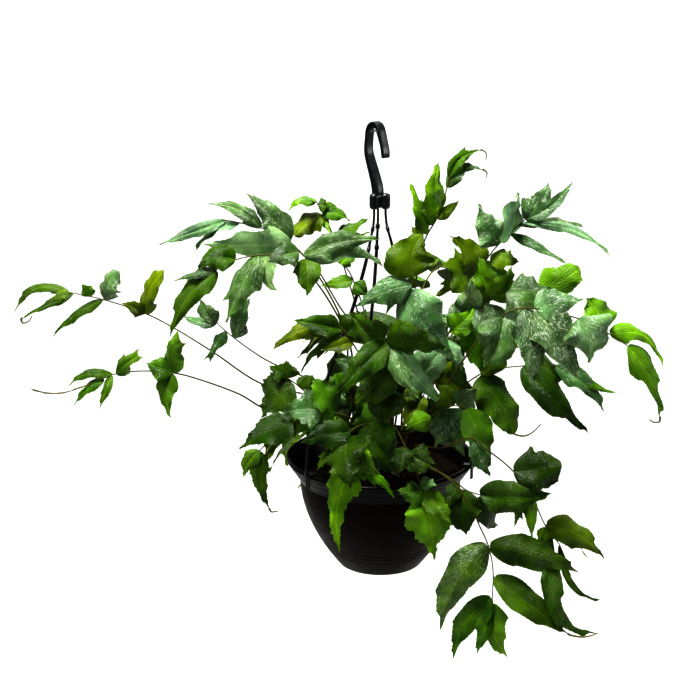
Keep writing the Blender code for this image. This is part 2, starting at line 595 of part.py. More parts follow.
def box_object(low, high, azimuth):
    """A box between two corners given as (distance from the axis, sideways, z), turned to an azimuth."""
    outward = outward_at(azimuth)
    sideways = Vector((-outward.y, outward.x, 0))
    points = [outward * out + sideways * side + Vector((0, 0, z))
              for out in (low[0], high[0]) for side in (low[1], high[1]) for z in (low[2], high[2])]
    faces = [(0, 1, 3, 2), (4, 6, 7, 5), (0, 4, 5, 1), (2, 3, 7, 6), (0, 2, 6, 4), (1, 5, 7, 3)]
    return mesh_object("clip", points, faces)


def make_strand(side, material):
    """One hanger strand with its ring collars and the clip that straddles the rim."""
    azimuth = STRAND_AZIMUTHS[side]
    stations = strand_stations(STRAND_COLLARS[side])
    route = [strand_centre(azimuth, height) for height, _ in stations]
    sections = [ring_section(radius, STRAND_SIDES) for _, radius in stations]
    strand = mesh_object("hanger_strand_" + side, *sweep(route, sections, outward_at(azimuth)), material)
    outer = RIM_RADIUS + CLIP_ROOM
    inner = RIM_RADIUS - RIM_WIDTH - TONGUE_ROOM
    half = CLIP_WIDTH / 2
    top = RIM_Z + GAP
    middle = top + CLIP_THICK / 2
    bridge = box_object((inner - CLIP_THICK, -half, top),
                        (outer + CLIP_THICK, half, top + CLIP_THICK), azimuth)
    leg = box_object((outer, -0.8 * half, RIM_Z - CLIP_LEG),
                     (outer + 0.9 * CLIP_THICK, 0.8 * half, middle), azimuth)
    tongue = box_object((inner - 0.9 * CLIP_THICK, -0.8 * half, RIM_Z - TONGUE_DROP),
                        (inner, 0.8 * half, middle), azimuth)
    join_solids(strand, [bridge, leg, tongue])


def view_axes():
    """The front view's eye point and its right, up and forward directions."""
    forward = Vector((0, math.cos(VIEW_DROP), -math.sin(VIEW_DROP)))
    up = Vector((0, math.sin(VIEW_DROP), math.cos(VIEW_DROP)))
    right = Vector((1, 0, 0))
    aside = (RIM_CENTRE_PIXEL[0] - VIEW_SIZE / 2) * VIEW_PIXEL
    below = (RIM_CENTRE_PIXEL[1] - VIEW_SIZE / 2) * VIEW_PIXEL
    eye = Vector((0, 0, RIM_Z)) - right * aside + up * below - forward * VIEW_DISTANCE
    return eye, right, up, forward


def seen_point(x, y, toward):
    """The point seen at a pixel of the front view, in the upright plane this far in front of the axis."""
    eye, right, up, forward = view_axes()
    focal = VIEW_DISTANCE / VIEW_PIXEL
    ray = forward + right * ((x - VIEW_SIZE / 2) / focal) + up * ((VIEW_SIZE / 2 - y) / focal)
    return eye + ray * ((-toward * MM - eye.y) / ray.y)


def seen_pixel(point):
    """The pixel of the front view at which a point is seen."""
    eye, right, up, forward = view_axes()
    focal = VIEW_DISTANCE / VIEW_PIXEL
    ray = point - eye
    return (VIEW_SIZE / 2 + focal * ray.dot(right) / ray.dot(forward),
            VIEW_SIZE / 2 - focal * ray.dot(up) / ray.dot(forward))


def arch_course(azimuth, reach, top, end):
    """A back frond's course after its foot: it rises, arches over and hangs."""
    course = []
    for part, top_share, end_share, rise in ARCH:
        height = top_share * top + end_share * end + rise
        course.append(outward_at(azimuth) * reach * part * MM + Vector((0, 0, RIM_Z + height * MM)))
    return course


def frond_courses():
    """The points that each frond's stalk goes through after it leaves the crown."""
    courses = {name: [seen_point(*point) for point in stalk] for name, (stalk, _) in FRONT_FRONDS.items()}
    for name, (azimuth, reach, top, end, _) in BACK_FRONDS.items():
        courses[name] = arch_course(azimuth, reach, top, end)
    return courses


def foot_choices(index, course):
    """Places on the crown for a stalk, from the side that its frond goes to and then further round."""
    angle = math.degrees(math.atan2(course[0].y, course[0].x))
    for attempt in range(FOOT_TRIES):
        turned = angle + FOOT_TURN * ((attempt + 1) // 2) * (-1) ** attempt
        foot = outward_at(turned) * FOOT_RADII[(index + attempt) % len(FOOT_RADII)]
        foot.z = COMPOST_Z + GAP + CROWN_FLOOR + GAP
        yield foot


def stalk_route(foot, course, shift):
    """A stalk's route from its hole in the crown along its course, which is moved by a shift."""
    top = Vector((foot.x, foot.y, COMPOST_Z + CROWN_HEIGHT + STALK_START))
    moved = [point + Vector((shift[1], -shift[0], 0)) * MM for point in course]
    rise = top.lerp(moved[0], STALK_SAG) + Vector((0, 0, STALK_LIFT * (moved[0] - top).length))
    return [foot, top, rise] + moved


def nearest_on(route, point):
    """The point of a route, short of its very end, that is nearest to a point."""
    best = None
    for start, end in zip(route, route[1:]):
        span = end - start
        part = max(0.0, min(1.0, (point - start).dot(span) / span.length_squared))
        found = start + span * part
        if best is None or (found - point).length < (best - point).length:
            best = found
    last = route[-1] + (route[-2] - route[-1]).normalized() * STALK_END
    return last if (best - route[-1]).length < STALK_END else best


def nearest_seen(route, x, y):
    """The point of a route that is seen nearest to a pixel of the front view."""
    steps = 20
    found = []
    for start, end in zip(route[1:], route[2:]):
        for step in range(steps + 1):
            point = start.lerp(end, step / steps)
            seen = seen_pixel(point)
            found.append((math.hypot(seen[0] - x, seen[1] - y), tuple(point)))
    return nearest_on(route, Vector(min(found)[1]))


def front_leaflets(name, route):
    """The foot, tip, width and bow of each leaflet of a frond that is laid out in the front view."""
    wanted = []
    for x, y, tip_x, tip_y, width, lead, *bow in FRONT_FRONDS[name][1]:
        foot = nearest_seen(route, x, y)
        tip = seen_point(tip_x, tip_y, -foot.y / MM + lead)
        wanted.append((foot, tip, width * VIEW_PIXEL, bow[0] if bow else None))
    return wanted


def back_leaflets(name, route, draw):
    """The same for a back frond, whose leaflets stand in turn on its two sides."""
    count = BACK_FRONDS[name][4]
    course = route[2:]
    first, last = LEAFLET_SPAN
    wanted = []
    for index in range(count):
        part = index / (count - 1)
        place = (first + (last - first) * part) * (len(course) - 1)
        low = min(int(place), len(course) - 2)
        foot = course[low].lerp(course[low + 1], place - low)
        along = (course[low + 1] - course[low]).normalized()
        side = along.cross(Vector((0, 0, 1))).normalized() * (1 if index % 2 else -1)
        if index == count - 1:
            side = side * 0.1
        length = (LEAFLET_LENGTH - LEAFLET_TAPER * abs(2 * part - 0.9)) * draw.uniform(*LEAFLET_LENGTHS)
        way = side + along * draw.uniform(*LEAFLET_SLANTS) + Vector((0, 0, draw.uniform(*LEAFLET_DROPS)))
        width = length * draw.uniform(*LEAFLET_WIDTHS)
        wanted.append((nearest_on(route, foot), foot + way.normalized() * length, width, None))
    return wanted


class Leaf:
    """A leaflet's shape: its curved midrib, its eared and waved edges and the way that it faces."""

    def __init__(self, foot, tip, width, face, draw, bow):
        chord = tip - foot
        self.foot = foot
        self.length = chord.length
        self.along = chord.normalized()
        self.across = face.cross(self.along).normalized()
        self.up = self.along.cross(self.across)
        self.half = width / 2
        self.bow = draw.uniform(*BOWS)
        if bow is not None:
            self.bow = bow
        self.arch = draw.uniform(*ARCHES)
        self.fold = draw.uniform(*FOLDS)
        self.twist = draw.uniform(*TWISTS)
        self.ears = {side: draw.uniform(*EARS[side]) for side in (1, -1)}
        self.phase = {side: draw.uniform(0, 1) for side in (1, -1)}

    def midrib(self, s):
        """The midrib's point at s, from 0 at the foot to 1 at the tip."""
        swing = math.sin(math.pi * s)
        return (self.foot + self.along * self.length * s + self.across * self.length * self.bow * swing
                + self.up * self.length * self.arch * swing)

    def axes(self, s):
        """The directions across the blade and out of its face at s."""
        along = (self.midrib(s + 0.02) - self.midrib(s - 0.02)).normalized()
        across = self.up.cross(along).normalized()
        across = Quaternion(along, self.twist * (s - 0.3)) @ across
        return across, along.cross(across)

    def ear(self, s, side):
        """How far the ear near the foot stands out at s on one side."""
        return self.ears[side] * math.exp(-((s - EAR_PLACE) / EAR_SPREAD) ** 2)

    def reach(self, s, side):
        """The blade's half width at s on one side."""
        if s < SHOULDER:
            body = math.sin(math.pi / 2 * s / SHOULDER) ** 0.9
        else:
            t = (s - SHOULDER) / (1 - SHOULDER)
            body = (1 - t ** 1.6) * (1 - 0.25 * t * t)
        wave = EDGE_WAVE * math.sin(math.tau * (EDGE_WAVES * s + self.phase[side])) * math.sin(math.pi * s)
        return self.half * (body + self.ear(s, side) + wave)

    def edge(self, s, side):
        """The blade's edge at s on one side."""
        across, up = self.axes(s)
        reach = self.reach(s, side)
        lift = self.fold + EDGE_LIFT * math.sin(math.tau * (EDGE_LIFTS * s + self.phase[-side]))
        lead = EAR_LEAD * self.length * self.ear(s, side)
        return self.midrib(s) + across * side * reach + up * lift * reach + self.along * lead


def leaf_solid(leaf, thick):
    """Points and triangles of a leaflet: thickest along its midrib, thin at its edges and split alike on
    both faces. Its foot is as thick as its midrib, and its tip is a point."""
    stations = next(rows for limit, rows in LEAF_STATIONS if leaf.length < limit)
    points = []
    for s in stations[:-1]:
        _, up = leaf.axes(s)
        points += [leaf.midrib(s) + up * thick / 2, leaf.midrib(s) - up * thick / 2]
        if s > 0:
            points += [leaf.edge(s, -1), leaf.edge(s, 1)]
    points.append(leaf.midrib(1.0))
    faces = [(0, 4, 2), (0, 2, 5), (1, 3, 4), (1, 5, 3), (0, 1, 4), (0, 5, 1)]
    tip = len(points) - 1
    for top in range(2, tip - 4, 4):
        bottom, left, right = top + 1, top + 2, top + 3
        faces += [(left, left + 4, top + 4), (left, top + 4, top), (top, top + 4, right + 4),
                  (top, right + 4, right), (left, bottom + 4, left + 4), (left, bottom, bottom + 4),
                  (bottom, right + 4, bottom + 4), (bottom, right, right + 4)]
    faces += [(tip - 2, tip, tip - 4), (tip - 4, tip, tip - 1), (tip - 2, tip - 3, tip),
              (tip - 3, tip - 1, tip)]
    return points, faces


def face_direction(foot, tip, seen):
    """The way that a leaflet's upper face looks: up and outward, and to the viewer where it is seen."""
    middle = (foot + tip) / 2
    outward = Vector((middle.x, middle.y, 0)).normalized()
    rise, out = FRONT_FACE if seen else BACK_FACE
    face = outward * out + Vector((0, 0, rise))
    if seen:
        face += (view_axes()[0] - middle).normalized()
    return face


def true_width(foot, tip, face, seen_width):
    """The width of a leaflet that looks this wide in the front view although it faces partly away."""
    along = (tip - foot).normalized()
    normal = (face - face.dot(along) * along).normalized()
    sight = view_axes()[0] - foot
    sight = (sight - sight.dot(along) * along).normalized()
    return seen_width / max(LEAST_FACING, abs(normal.dot(sight)))


def leaf_choices(foot, tip, width, bow, seen, seed):
    """A leaflet's shapes in the order in which they are tried: its tip bent to or from the viewer, or up or
    down on the hidden sides, and its face rolled."""
    way = (view_axes()[0] - tip).normalized() if seen else Vector((0, 0, 1))
    for size in LEAF_SIZES:
        for shift in TIP_SHIFTS:
            moved = tip + way * shift * MM
            along = (moved - foot).normalized()
            for roll in LEAF_ROLLS:
                face = Quaternion(along, math.radians(roll)) @ face_direction(foot, moved, seen)
                wide = true_width(foot, moved, face, width) if seen else width
                yield Leaf(foot, moved, wide * size, face, random.Random(seed), bow)


def stalk_sections(route, grow):
    """Ring sections that taper along a stalk."""
    count = len(route) - 1
    return [ring_section(STALK_FOOT_RADIUS + (STALK_TIP_RADIUS - STALK_FOOT_RADIUS) * index / count + grow,
                         STALK_SIDES) for index in range(count + 1)]


def stalk_solid(route, grow=0.0):
    """Points and faces of a stalk."""
    return sweep(route, stalk_sections(route, grow), any_across(route))


def solid_tree(points, faces):
    """A search tree and box of a solid, for finding crossings."""
    low = [min(point[axis] for point in points) for axis in range(3)]
    high = [max(point[axis] for point in points) for axis in range(3)]
    return BVHTree.FromPolygons([tuple(point) for point in points], faces), low, high


def crosses(solid, others):
    """Whether a solid's surface crosses one of the others."""
    tree, low, high = solid
    for other, other_low, other_high in others:
        apart = any(high[axis] < other_low[axis] or low[axis] > other_high[axis] for axis in range(3))
        if not apart and tree.overlap(other):
            return True
    return False


def made_trees():
    """Search trees of the pot and the hanger."""
    return [solid_tree([thing.matrix_world @ vertex.co for vertex in thing.data.vertices],
                       [tuple(face.vertices) for face in thing.data.polygons])
            for thing in bpy.data.objects]


def clear_stalk(name, index, course, feet, taken):
    """A stalk's route, with its foot moved and its course shifted until it is clear of the others."""
    for shift in STALK_SHIFTS:
        for foot in foot_choices(index, course):
            if any((foot - other).length < FOOT_APART for other in feet):
                continue
            route = stalk_route(foot, course, shift)
            if not crosses(solid_tree(*stalk_solid(route, CLEARANCE)), taken):
                return route
    raise ValueError("the stalk of " + name + " crosses another piece")


def clear_leaf(name, choices, strict, others):
    """The first shape of a leaflet that is clear of its neighbours, or at least of the other fronds."""
    choices = list(choices)
    for obstacles in (strict, others):
        for leaf in choices:
            if not crosses(solid_tree(*leaf_solid(leaf, LEAF_THICK + 2 * CLEARANCE)), obstacles):
                return leaf
    raise ValueError("a leaflet of " + name + " crosses another piece")


def plan_fronds():
    """Each frond's route and leaflets, clear of the hanger and of the fronds before it."""
    taken = made_trees()
    routes = {}
    stalks = {}
    for index, (name, course) in enumerate(frond_courses().items()):
        feet = [route[0] for route in routes.values()]
        routes[name] = clear_stalk(name, index, course, feet, taken)
        stalks[name] = solid_tree(*stalk_solid(routes[name]))
        taken.append(stalks[name])
    plan = {}
    for index, (name, route) in enumerate(routes.items()):
        seen = name in FRONT_FRONDS
        if seen:
            wanted = front_leaflets(name, route)
        else:
            wanted = back_leaflets(name, route, random.Random(100 + index))
        others = [solid for solid in taken if solid is not stalks[name]]
        leaves = []
        own = []
        for number, leaflet in enumerate(wanted):
            choices = leaf_choices(*leaflet, seen, 1000 * index + number)
            leaves.append(clear_leaf(name, choices, others + own, others))
            own.append(solid_tree(*leaf_solid(leaves[-1], LEAF_THICK)))
        taken += own
        plan[name] = (route, leaves)
    return plan


def make_frond(name, route, leaves, material):
    """One frond: its stalk and its leaflets, joined into one body."""
    stalk = mesh_object(name, *stalk_solid(route), material)
    join_solids(stalk, [mesh_object("leaflet", *leaf_solid(leaf, LEAF_THICK)) for leaf in leaves])


def hang_from_origin():
    """Move everything so that the hang point inside the hook is at the origin."""
    for thing in bpy.data.objects:
        thing.data.transform(Matrix.Translation(-HANG_PLACE))


def main():
    """Build the whole plant, pot and hanger."""
    clear_scene()
    plastic = make_material("black_plastic", (0.012, 0.010, 0.009), 0.38)
    compost = make_material("compost", (0.045, 0.028, 0.018), 0.95)
    scales = make_material("crown_scales", (0.09, 0.045, 0.02), 0.9)
    foliage = make_material("foliage", (0.05, 0.19, 0.03), 0.35)
    make_pot(plastic)
    make_hook(plastic)
    for side in STRAND_AZIMUTHS:
        make_strand(side, plastic)
    bpy.context.view_layer.update()
    plan = plan_fronds()
    make_compost(compost)
    make_crown(scales, [route[0] for route, _ in plan.values()])
    for name, (route, leaves) in plan.items():
        make_frond(name, route, leaves, foliage)
    hang_from_origin()


main()
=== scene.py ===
"""The looks of a fishtail holly fern in a hanging basket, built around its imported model.

Every piece is made at its real size, in metres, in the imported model's own frame: +Z up, the hang point
inside the hook at the origin, +X to the right in the front view and +Y away from the viewer.
"""

import random
from copy import copy
from functools import cache
from math import atan2, cos, degrees, exp, hypot, pi, radians, sin, sqrt, tau

import bmesh
import bpy
import numpy as np
from mathutils import Matrix, Quaternion, Vector
from mathutils.kdtree import KDTree
from mathutils.noise import noise


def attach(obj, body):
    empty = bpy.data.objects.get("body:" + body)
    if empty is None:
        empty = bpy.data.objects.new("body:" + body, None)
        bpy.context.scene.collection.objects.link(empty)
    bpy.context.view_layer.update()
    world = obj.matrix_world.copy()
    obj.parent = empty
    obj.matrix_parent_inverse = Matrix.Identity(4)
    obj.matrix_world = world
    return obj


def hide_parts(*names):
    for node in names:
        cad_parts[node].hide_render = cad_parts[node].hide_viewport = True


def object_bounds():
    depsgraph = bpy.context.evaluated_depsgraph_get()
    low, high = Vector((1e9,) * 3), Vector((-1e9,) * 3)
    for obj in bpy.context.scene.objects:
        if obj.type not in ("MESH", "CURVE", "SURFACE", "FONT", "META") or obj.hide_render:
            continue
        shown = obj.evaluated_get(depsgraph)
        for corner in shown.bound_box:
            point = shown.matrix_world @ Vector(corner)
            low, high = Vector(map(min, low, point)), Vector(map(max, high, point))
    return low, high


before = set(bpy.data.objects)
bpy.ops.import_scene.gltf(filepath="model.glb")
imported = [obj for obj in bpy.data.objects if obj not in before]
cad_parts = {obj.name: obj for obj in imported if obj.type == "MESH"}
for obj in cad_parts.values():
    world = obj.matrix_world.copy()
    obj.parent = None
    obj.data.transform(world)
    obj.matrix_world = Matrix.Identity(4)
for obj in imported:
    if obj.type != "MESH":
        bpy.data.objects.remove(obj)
CAD_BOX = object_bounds()

bl_info = {
    "name": "Holly fern in a hanging basket",
    "version": (1, 0, 0),
    "blender": (4, 5, 0),
    "location": "3D View > Sidebar > Hanging fern",
    "description": "Makes a holly fern with its pot, hanger and compost, and a plain stage",
    "category": "Add Mesh",
}

MM = 0.001
GAP = 0.3 * MM
# Centimetres in a metre, because the leaflets' surface values are in centimetres
CM = 100

# Sizes of the pot
RIM_RADIUS = 105 * MM
RIM_Z = -362 * MM
POT_HEIGHT = 126 * MM
COLLAR_DROP = 25 * MM
COLLAR_RIBS = 3
BOWL_TOP_RADIUS = 90 * MM
BASE_RADIUS = 47 * MM
BOWL_CURVE = 1.9
DRAIN_RADIUS = 4.5 * MM
DRAIN_RING = 30 * MM
DRAIN_HOLES = 4
COMPOST_Z = RIM_Z - 20 * MM
CROWN_RADIUS = 54 * MM
CROWN_HEIGHT = 13 * MM
CROWN_FLOOR = 1.8 * MM
# The height and the radius of the swelling at a stalk's foot
STUB_HEIGHT = 3.2 * MM
STUB_RADIUS = 3.6 * MM
# How far the compost stays off the pot's wall, and how many rings its top has
COMPOST_INSET = 0.6 * MM
COMPOST_RINGS = 26

# Where the hang point and the hub stand from the pot's axis
HANG_PLACE = Vector((-6.9, 4.2, 0)) * MM
HUB_PLACE = Vector((-2.9, 0, 0)) * MM

# The hook's bar as (outward from the hang point, z, thickness) before and after its arch, and the
# strands' centre line as (distance from the axis, height above the rim), in mm
HOOK_DEPTH = 10 * MM
HOOK_TURN = -46
HOOK_SHANK = ((3.6, -72, 9.5), (3.4, -64, 9.5), (1.6, -56.5, 9.0), (-2.5, -45.5, 8.0),
              (-7.0, -34.5, 6.8), (-9.9, -26, 5.6), (-10.5, -18, 4.8))
HOOK_ARM = ((12.2, -13, 4.5), (13.7, -18, 4.5), (14.7, -23.5, 4.4), (15.0, -28.2, 3.0))
ARCH_REACH = 9.5 * MM
ARCH_RISE = 12.5 * MM
ARCH_Z = -8 * MM
ARCH_SIDE = 4.6 * MM
ARCH_TOP = 9 * MM
HUB_TOP_Z = -66.5 * MM
HUB_HEIGHT = 17 * MM
HUB_RADIUS = 7.5 * MM
HUB_INSET = 1.2 * MM
LOBE_RADIUS = 5.2 * MM
LOBE_RING = 7.2 * MM
STRAND_AZIMUTHS = {"back": 99, "left": 222, "right": 338}
STRAND_ROUTE = ((7.4, 278.2), (7.4, 272.0), (8.8, 260.0), (12.6, 247.0), (18.4, 227.0), (26.5, 205.0),
                (38.0, 178.0), (55.0, 146.0), (72.5, 113.0), (86.5, 84.0), (98.0, 56.0), (105.0, 30.0),
                (107.5, 10.0), (107.6, 1.0))
STRAND_COLLARS = {"back": (257.0, 232.0), "left": (257.0, 236.0), "right": (257.0, 234.0, 219.0, 209.0)}
# A strand's thickness as a share, above and below this span of heights above the rim
STRAND_SWELL = (0.8, 1.2)
SWELL_SPAN = (215 * MM, 262 * MM)
STRAND_SIDES = 14
# A clip's section, as shares of its half width and half depth
CLIP_SECTION = ((1, 0.5), (0.92, 1), (-0.92, 1), (-1, 0.5), (-1, -0.5), (-0.92, -1), (0.92, -1),
                (1, -0.5))
CLIP_HALF_WIDTH = 3.1 * MM
CLIP_HALF_DEPTH = 0.85 * MM

# Stalks
STALK_FOOT_RADIUS = 1.6 * MM
STALK_TIP_RADIUS = 1.0 * MM
STALK_START = 6 * MM
STALK_SAG = 0.45
STALK_LIFT = 0.12
STALK_END = 1.5 * MM
FOOT_RADII = (18 * MM, 27 * MM, 36 * MM, 45 * MM)
FOOT_TURN = 9
FOOT_TRIES = 20
STALK_SHIFTS = [(toward, aside) for aside in (0, 4, -4) for toward in (0, 6, -6, 12, -12, 18, -18)]

# Leaflets
LEAF_STATIONS = ((44 * MM, (0.0, 0.24, 0.62, 1.0)), (96 * MM, (0.0, 0.2, 0.46, 0.74, 1.0)),
                 (500 * MM, (0.0, 0.08, 0.2, 0.45, 0.72, 1.0)))
TIP_MATCH = 0.1 * MM
SHOULDER = 0.28
EAR_PLACE = 0.2
EAR_SPREAD = 0.07
EAR_LEAD = 0.05
BOWS = (-0.1, 0.1)
ARCHES = (0.04, 0.13)
FOLDS = (-0.35, 0.15)
TWISTS = (-0.35, 0.35)
TWIST_START = 0.3
AXIS_STEP = 0.02
EARS = {1: (0.05, 0.36), -1: (0.0, 0.22)}
EDGE_WAVE = 0.07
EDGE_WAVES = 2.3
EDGE_LIFT = 0.16
EDGE_LIFTS = 1.4
FRONT_FACE = (0.5, 0.55)
BACK_FACE = (0.7, 0.8)
LEAST_FACING = 0.8
LEAF_SIZES = (1.0, 0.8)
TIP_SHIFTS = (0, 8, -8, 16, -16, 25, -25, 35, -35, 48, -48, 60)
LEAF_ROLLS = (0, 25, -25, 50, -50)

# The photograph's view: its pixels are 1.117 mm at the pot's axis
VIEW_SIZE = 700
VIEW_DROP = radians(16)
VIEW_DISTANCE = 1800 * MM
VIEW_PIXEL = 1.117 * MM
RIM_CENTRE_PIXEL = (380.5, 454.0)
SENSOR_WIDTH = 36.0

# The fine pot: steps down the bowl, the places of its grooves as parts of the bowl's depth, and the
# section of a groove as (shift, share of its depth)
BOWL_STEPS = 30
GROOVES = (0.69, 0.74, 0.79)
GROOVE_SHAPE = ((-0.012, 0.0), (-0.006, 1.0), (0.006, 1.0), (0.012, 0.0))

# Crumbs and scales stand where the ground's face points up at least this much, turned by up to half a
# turn, and their smallest and largest shapes are shares of their size
LEAST_RISE = 0.25
HALF_TURN = 3.1416
CRUMB_SHAPES = ((0.25, 0.2, 0.18), (1.0, 0.8, 0.6))
SCALE_SHAPES = ((0.5, 0.2, 0.5), (1.1, 0.45, 1.2))

# The fine leaflets: parts of the half width where their faces have rows of points, the part of the
# length that the blade covers, and how much narrower the drawn-out tip is
COLUMNS = (0.22, 0.44, 0.66, 0.86)
LEAST_ROWS = 8
BLADE_START = 0.015
BLADE_END = 0.994
TAILS = (0.15, 0.45)
TAIL_SPAN = (0.5, 0.85)
SLIM_TAIL = 0.5
SLIM_SPAN = (0.1, 0.5)
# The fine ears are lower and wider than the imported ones
EAR_SOFT = 0.7
EAR_WIDER = 1.7
BULGES = (0.02, 0.22)
RIPPLE = 0.11
RIPPLES = 3.0
# How much thinner a blade is at its edge and at its tip
EDGE_THIN = 0.75
TIP_THIN = 0.6
# Small teeth: the share of their depth at each of three stations, and how much of the underside's look
# an edge has
SMALL_TOOTH = (0.0, 0.4, 1.0)
EDGE_UNDER = 0.3
# Large teeth: how many a side, where along the length, their reach in half widths, their place, width
# and forward lead as parts of a step, and how soon they end. Jagged fronds have more and larger ones.
TEETH = (3, 5)
TEETH_START = 0.1
TEETH_END = 0.9
TOOTH_REACH = (0.01, 0.06)
TOOTH_PLACES = (0.3, 0.9)
TOOTH_WIDTHS = (0.8, 1.3)
TOOTH_LEAD = 0.25
TOOTH_FALL = 0.35
JAG_MORE = 3
JAG_REACH = (0.08, 0.24)
JAGGED = ("pot_front_left", "pot_front_right", "left_rim", "left_front")
# Blunt ends with a horn at each corner: their half width and where it starts, how far the horns lead and
# the middle lags, and the part of the length that they bend
HORN_WIDTH = 0.62
HORN_START = (0.3, 0.6)
HORN_LEADS = (0.1, 0.2)
HORN_NOTCH = 0.1
HORN_SPAN = (0.72, 1.0)
# Fishtail lobes: the share of leaflets with one, the least length, place, reach, width and forward lead
FORK_SHARE = 0.2
FORK_LEAST = 35 * MM
FORK_PLACES = (0.42, 0.66)
FORK_REACH = (0.3, 0.5)
FORK_WIDTH = 0.1
FORK_LEAD = 0.1
# The raised midrib: its stations along the leaflet, its radius and how much thinner it ends
RIB_PLACES = (0.03, 0.1, 0.22, 0.36, 0.52, 0.68, 0.84, 0.95)
RIB_RADIUS = 0.45 * MM
RIB_TAPER = 0.72
# A fine stalk's radius at its foot and its tip
STALK_FINE = (1.45 * MM, 0.6 * MM)
# Thin curled tips of some leaflets, as the leaflet's number and where its tip goes on in the front view
CURLED_TIPS = {
    "far_left_high": ((5, ((23, 323), (29, 321), (32, 316))),),
    "left_rim": ((3, ((272, 512), (278, 511))),),
    "top_centre": ((2, ((486, 153), (486, 160))), (3, ((487, 173), (486, 178)))),
    "right_low": ((2, ((524, 436), (533, 432), (541, 424))),),
    "right": ((7, ((659, 422), (653, 422), (649, 419))),),
    "bottom_right": ((2, ((581, 637), (590, 636), (598, 633))),),
    "front_middle": ((2, ((455, 415), (459, 416))),),
}
TIP_RADIUS = 1.3 * MM
TIP_TAPER = 0.55
# Some leaflets, by their number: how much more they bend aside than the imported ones, as a part of their
# length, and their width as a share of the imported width
TRIMS = {
    "far_left_high": {3: (0.04, 0.75), 6: (0.06, 0.85)},
    "far_left_low": {0: (0.12, 0.8), 1: (-0.17, 0.8), 2: (0.0, 1.3), 6: (0.0, 0.4)},
    "upper_left": {0: (-0.09, 0.9), 1: (-0.08, 1.25), 4: (-0.05, 1.25)},
    "left_middle": {0: (-0.02, 1.0), 1: (-0.12, 0.9), 3: (-0.22, 1.7)},
    "top_left": {0: (-0.6, 1.0), 2: (0.05, 1.0), 5: (0.0, 1.15), 7: (-0.45, 1.0)},
    "centre_left": {0: (0.12, 1.5), 1: (0.08, 1.0), 3: (-0.1, 1.4)},
    "centre_left_low": {0: (-0.17, 1.05)},
    "front_centre": {2: (0.2, 1.5)},
    "front_middle": {6: (0.0, 1.25)},
    "centre_dark": {3: (0.0, 0.6)},
    "top_centre": {0: (0.15, 1.0), 1: (0.06, 1.35), 2: (-0.08, 1.0), 3: (0.25, 1.0), 6: (0.1, 1.5)},
    "upper_right": {1: (-0.1, 1.0), 4: (0.0, 0.7), 6: (0.3, 1.6), 8: (-0.1, 0.9), 9: (0.0, 1.2)},
    "right_middle": {1: (-0.1, 1.0)},
    "right": {4: (0.2, 1.25), 5: (-0.1, 1.3), 6: (0.08, 0.95), 7: (-0.13, 0.75)},
    "right_low": {0: (-0.03, 0.9), 2: (0.08, 1.0), 3: (0.0, 1.2), 7: (0.0, 0.5)},
    "lower_right": {0: (-0.03, 0.95), 4: (-0.06, 0.95), 6: (-0.1, 0.9), 7: (-0.08, 0.7)},
    "bottom_right": {0: (0.09, 0.95), 1: (0.0, 1.1), 2: (-0.07, 1.0), 3: (0.07, 0.92), 4: (-0.05, 0.8)},
}
# Leaflets with a round end in place of a drawn-out tip
ROUND_ENDS = {"far_left_high": (0, 2), "right_middle": (1,), "right_low": (2,),
              "lower_right": (0,), "top_left": (5,)}
ROUND_WIDTH = 0.82
